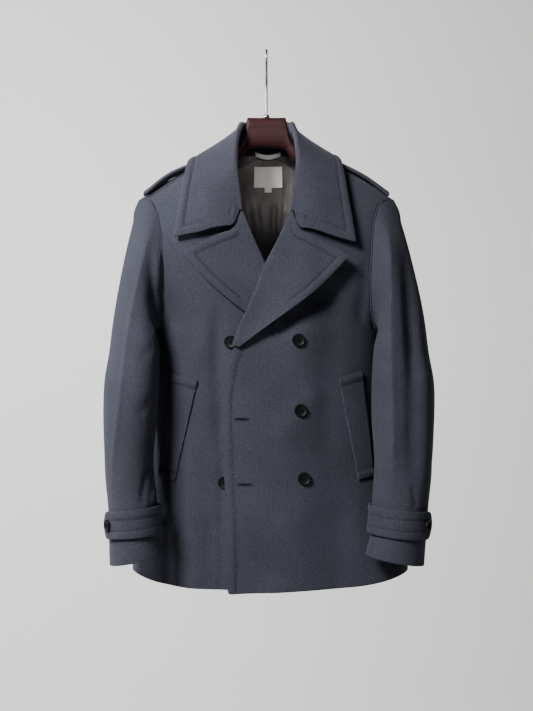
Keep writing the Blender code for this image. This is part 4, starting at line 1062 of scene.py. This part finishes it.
class COAT_OT_buttons(bpy.types.Operator):
    """Turns the four-hole buttons and sews them on"""

    bl_idname = "coat.buttons"
    bl_label = "Buttons"

    def execute(self, context):
        for name in sorted(n for n in frame["nodes"] if "button" in n):
            self.make(name, context.scene.coat_button)
        return {"FINISHED"}

    def make(self, name, sizes):
        base, normal, radius = button_place(name)
        base = Vector(hung(base[None], "sleeves" if name.startswith("cuff") else "body")[0])
        normal = Vector(normal)
        side = Vector((0, 0, 1)).cross(normal).normalized()
        place = Matrix.Translation(base) @ turned(side, normal.cross(side), normal).to_4x4()
        bm = bmesh.new()
        points = [bm.verts.new((radius * r, 0, sizes.thickness * h)) for r, h in BUTTON_PROFILE]
        lines = [bm.edges.new(pair) for pair in zip(points, points[1:])]
        bmesh.ops.spin(bm, geom=points + lines, cent=(0, 0, 0), axis=(0, 0, 1),
                       angle=2 * math.pi, steps=48, use_merge=True)
        bmesh.ops.remove_doubles(bm, verts=bm.verts, dist=0.005 * MM)
        bmesh.ops.recalc_face_normals(bm, faces=bm.faces)
        made = mesh_object(f"resin_{name}", bm)
        cylinders = bmesh.new()
        holes = [Vector((math.cos(a), math.sin(a), 0)) * sizes.hole_ring
                 for a in (math.pi / 4, 3 * math.pi / 4, 5 * math.pi / 4, 7 * math.pi / 4)]
        for at in holes:
            bmesh.ops.create_cone(cylinders, cap_ends=True, segments=16, radius1=sizes.hole,
                                  radius2=sizes.hole, depth=6 * sizes.thickness,
                                  matrix=Matrix.Translation(at))
        cutter = mesh_object("hole_cutter", cylinders)
        drill = made.modifiers.new("Thread holes", "BOOLEAN")
        drill.object = cutter
        drill.operation = "DIFFERENCE"
        drill.solver = "EXACT"
        applied(made)
        bpy.data.objects.remove(cutter)
        made.data.transform(place)
        dressed(made, "moulded_button", name)
        made.data.set_sharp_from_angle(angle=BUTTON_SHARP)

        thread = bmesh.new()
        for first, second in ((0, 2), (1, 3)):
            lift = sizes.thickness * BUTTON_FLOOR + 0.3 * MM + (0.25 * MM if first else 0.0)
            for beside in (-0.35 * MM, 0.35 * MM):
                start, end = holes[first], holes[second]
                way = (end - start).normalized()
                across = Vector((-way.y, way.x, 0)) * beside
                bead(thread, (start + end) / 2 + across + Vector((0, 0, lift)),
                     way.to_track_quat("Z", "Y").to_matrix(),
                     (0.75 * MM, 0.75 * MM, 2.25 * sizes.hole_ring), (8, 10))
        bmesh.ops.transform(thread, matrix=place, verts=thread.verts)
        dressed(mesh_object(f"thread_{name}", thread), "button_thread")


class COAT_OT_buttonholes(bpy.types.Operator):
    """Works the two buttonholes that show on the overlapping front"""

    bl_idname = "coat.buttonholes"
    bl_label = "Buttonholes"

    def execute(self, context):
        bm = bmesh.new()
        bm.from_mesh(bpy.data.objects["cloth_front_left"].data)
        tree = BVHTree.FromBMesh(bm)
        bm.free()
        for number, (x, z, length) in enumerate(BUTTONHOLES, start=1):
            stitches = bmesh.new()
            count = int(length / 1.0)
            for i in range(count + 1):
                for edge in (-1, 1):
                    at = seen_from(tree, "front", (x + (i / count - 0.5) * length) * MM,
                                   (z + edge * HOLE_HALF - HOLE_SLOPE * (i - count / 2)) * MM)
                    self.stitch(stitches, *at, Vector((HOLE_SLANT * edge, 0, 1)), 2.6 * MM)
            for end in (-1, 1):
                for i in range(-2, 3):
                    at = seen_from(tree, "front", (x + end * (length / 2 + 0.6)) * MM,
                                   (z + i * 1.1) * MM)
                    self.stitch(stitches, *at, Vector((1, 0, 0)), 2.2 * MM)
            dressed(mesh_object(f"buttonhole_{number}", stitches), "topstitch_thread")
            # Painted shade: a near-black bead in the button thread's colour stands in for the
            # shade in the cut between the stitched lips.
            slit = bmesh.new()
            at, normal = seen_from(tree, "front", x * MM, z * MM)
            bead(slit, at, normal.to_track_quat("Z", "Y").to_matrix(),
                 (length * MM, 2.4 * MM, 1.6 * MM), (16, 8))
            dressed(mesh_object(f"buttonhole_slit_shade_{number}", slit), "button_thread")
        return {"FINISHED"}

    def stitch(self, bm, at, normal, way, length):
        across = normal.cross(way).normalized()
        bead(bm, at, turned(across.cross(normal), across, normal), (length, 0.85 * MM, 0.9 * MM))


class COAT_OT_hanger(bpy.types.Operator):
    """Finishes the wooden hanger and its plated hook"""

    bl_idname = "coat.hanger"
    bl_label = "Hanger"

    def execute(self, context):
        for name, slot, material, levels in (("hanger_body", "wood", "stained_beech", 3),
                                             ("hanger_hook", "steel", "plated_steel", 2)):
            made = rounded(mesh_object(f"shaped_{name}", cage(name, rim=HANGER_CREASE)), levels)
            dressed(made, material, name)
        return {"FINISHED"}


class COAT_OT_stage(bpy.types.Operator):
    """Sets the camera, the soft lights and the paper backdrop"""

    bl_idname = "coat.stage"
    bl_label = "Stage"

    def execute(self, context):
        scene = context.scene
        camera = bpy.data.objects.new("camera", bpy.data.cameras.new("camera"))
        camera.location = (0, -2.5, -0.533)
        camera.rotation_euler = (math.pi / 2, 0, 0)
        camera.data.sensor_width = 36
        camera.data.lens = 72.33
        scene.collection.objects.link(camera)
        scene.camera = camera

        # kind, place, aim, width, power in watts, colour
        lights = {
            "key": ("AREA", (-1.30, -1.90, 0.97), (0, 0, -0.5), 0.75, 128, "#fffdfa"),
            "fill": ("AREA", (0.6, -3.4, 0.4), (0, 0, -0.5), 2.0, 2.2, "#eef2ff"),
            "wall": ("AREA", (-1.9, 0.4, 0.6), (-0.4, 4.2, -0.4), 0.9, 230, "#ffffff"),
            "back": ("AREA", (0.3, 3.0, 1.9), (0, 0, -0.5), 1.0, 42, "#f4f6ff"),
            "neck": ("SPOT", (0.1, -2.6, 0.1), (0.004, 0.07, -0.222), 0.05, 110, "#fffcf6"),
        }
        for name, (kind, place, aim, width, power, colour) in lights.items():
            lamp = bpy.data.lights.new(name, kind)
            if kind == "AREA":
                lamp.size = width
            else:
                lamp.shadow_soft_size = width
                lamp.spot_size, lamp.spot_blend = NECK_BEAM, 1.0
            lamp.energy = power
            lamp.color = linear(colour)
            light = bpy.data.objects.new(name, lamp)
            light.location = place
            turned = (Vector(aim) - Vector(place)).to_track_quat("-Z", "Y")
            light.rotation_euler = turned.to_euler()
            scene.collection.objects.link(light)

        world = bpy.data.worlds.new("studio")
        world.use_nodes = True
        world.node_tree.nodes.clear()
        sky = node(world.node_tree, "ShaderNodeBackground", None,
                   {"Color": opaque(linear("#e6e8ee")), "Strength": 0.03}, "Background")
        node(world.node_tree, "ShaderNodeOutputWorld", None, {"Surface": sky})
        scene.world = world

        paper = bmesh.new()
        #          y     z of the roll of paper, from the floor in front to the wall's top
        profile = [(-6.0, -2.4), (3.7, -2.4), (4.2, -1.9), (4.2, 4.0)]
        points = [paper.verts.new((-8, y, z)) for y, z in profile]
        edges = [paper.edges.new(pair) for pair in zip(points, points[1:])]
        spread = bmesh.ops.extrude_edge_only(paper, edges=edges)["geom"]
        bmesh.ops.translate(paper, vec=(16, 0, 0),
                            verts=[g for g in spread if isinstance(g, bmesh.types.BMVert)])
        bends = [e for e in paper.edges
                 if abs(e.verts[0].co.x - e.verts[1].co.x) > 1 and len(e.link_faces) == 2]
        bmesh.ops.bevel(paper, geom=bends, offset=0.2, offset_type="OFFSET", segments=12,
                        profile=0.5, affect="EDGES", material=-1)
        sweep = mesh_object("backdrop", paper)
        sweep.data.materials.append(finish_named("backdrop_paper"))
        sweep.data.shade_smooth()
        return {"FINISHED"}


class COAT_PT_panel(bpy.types.Panel):
    """Settings and steps of the coat"""

    bl_idname = "COAT_PT_panel"
    bl_label = "Pea Coat"
    bl_space_type = "VIEW_3D"
    bl_region_type = "UI"
    bl_category = "Coat"

    def draw(self, context):
        layout = self.layout
        for settings in (context.scene.coat_cloth, context.scene.coat_button,
                         context.scene.coat_colours):
            box = layout.box()
            for name in settings.__annotations__:
                box.prop(settings, name)
        for operator in STEPS:
            layout.operator(operator.bl_idname)


SETTINGS = (("coat_cloth", CoatCloth), ("coat_colours", CoatColours), ("coat_button", CoatButton))
STEPS = (COAT_OT_body, COAT_OT_lapels, COAT_OT_collar, COAT_OT_sleeves, COAT_OT_armholes,
         COAT_OT_straps, COAT_OT_welts, COAT_OT_inside, COAT_OT_buttons, COAT_OT_buttonholes,
         COAT_OT_hanger, COAT_OT_stage)


def register():
    for name, group in SETTINGS:
        bpy.utils.register_class(group)
        setattr(bpy.types.Scene, name, PointerProperty(type=group))
    for made in (*STEPS, COAT_PT_panel):
        bpy.utils.register_class(made)


def unregister():
    for made in reversed((*STEPS, COAT_PT_panel)):
        bpy.utils.unregister_class(made)
    for name, group in reversed(SETTINGS):
        delattr(bpy.types.Scene, name)
        bpy.utils.unregister_class(group)


def main():
    register()
    bpy.ops.coat.body()
    bpy.ops.coat.lapels()
    bpy.ops.coat.collar()
    bpy.ops.coat.sleeves()
    bpy.ops.coat.armholes()
    bpy.ops.coat.straps()
    bpy.ops.coat.welts()
    bpy.ops.coat.inside()
    bpy.ops.coat.buttons()
    bpy.ops.coat.buttonholes()
    bpy.ops.coat.hanger()
    bpy.ops.coat.stage()


if __name__ == "__main__":
    main()
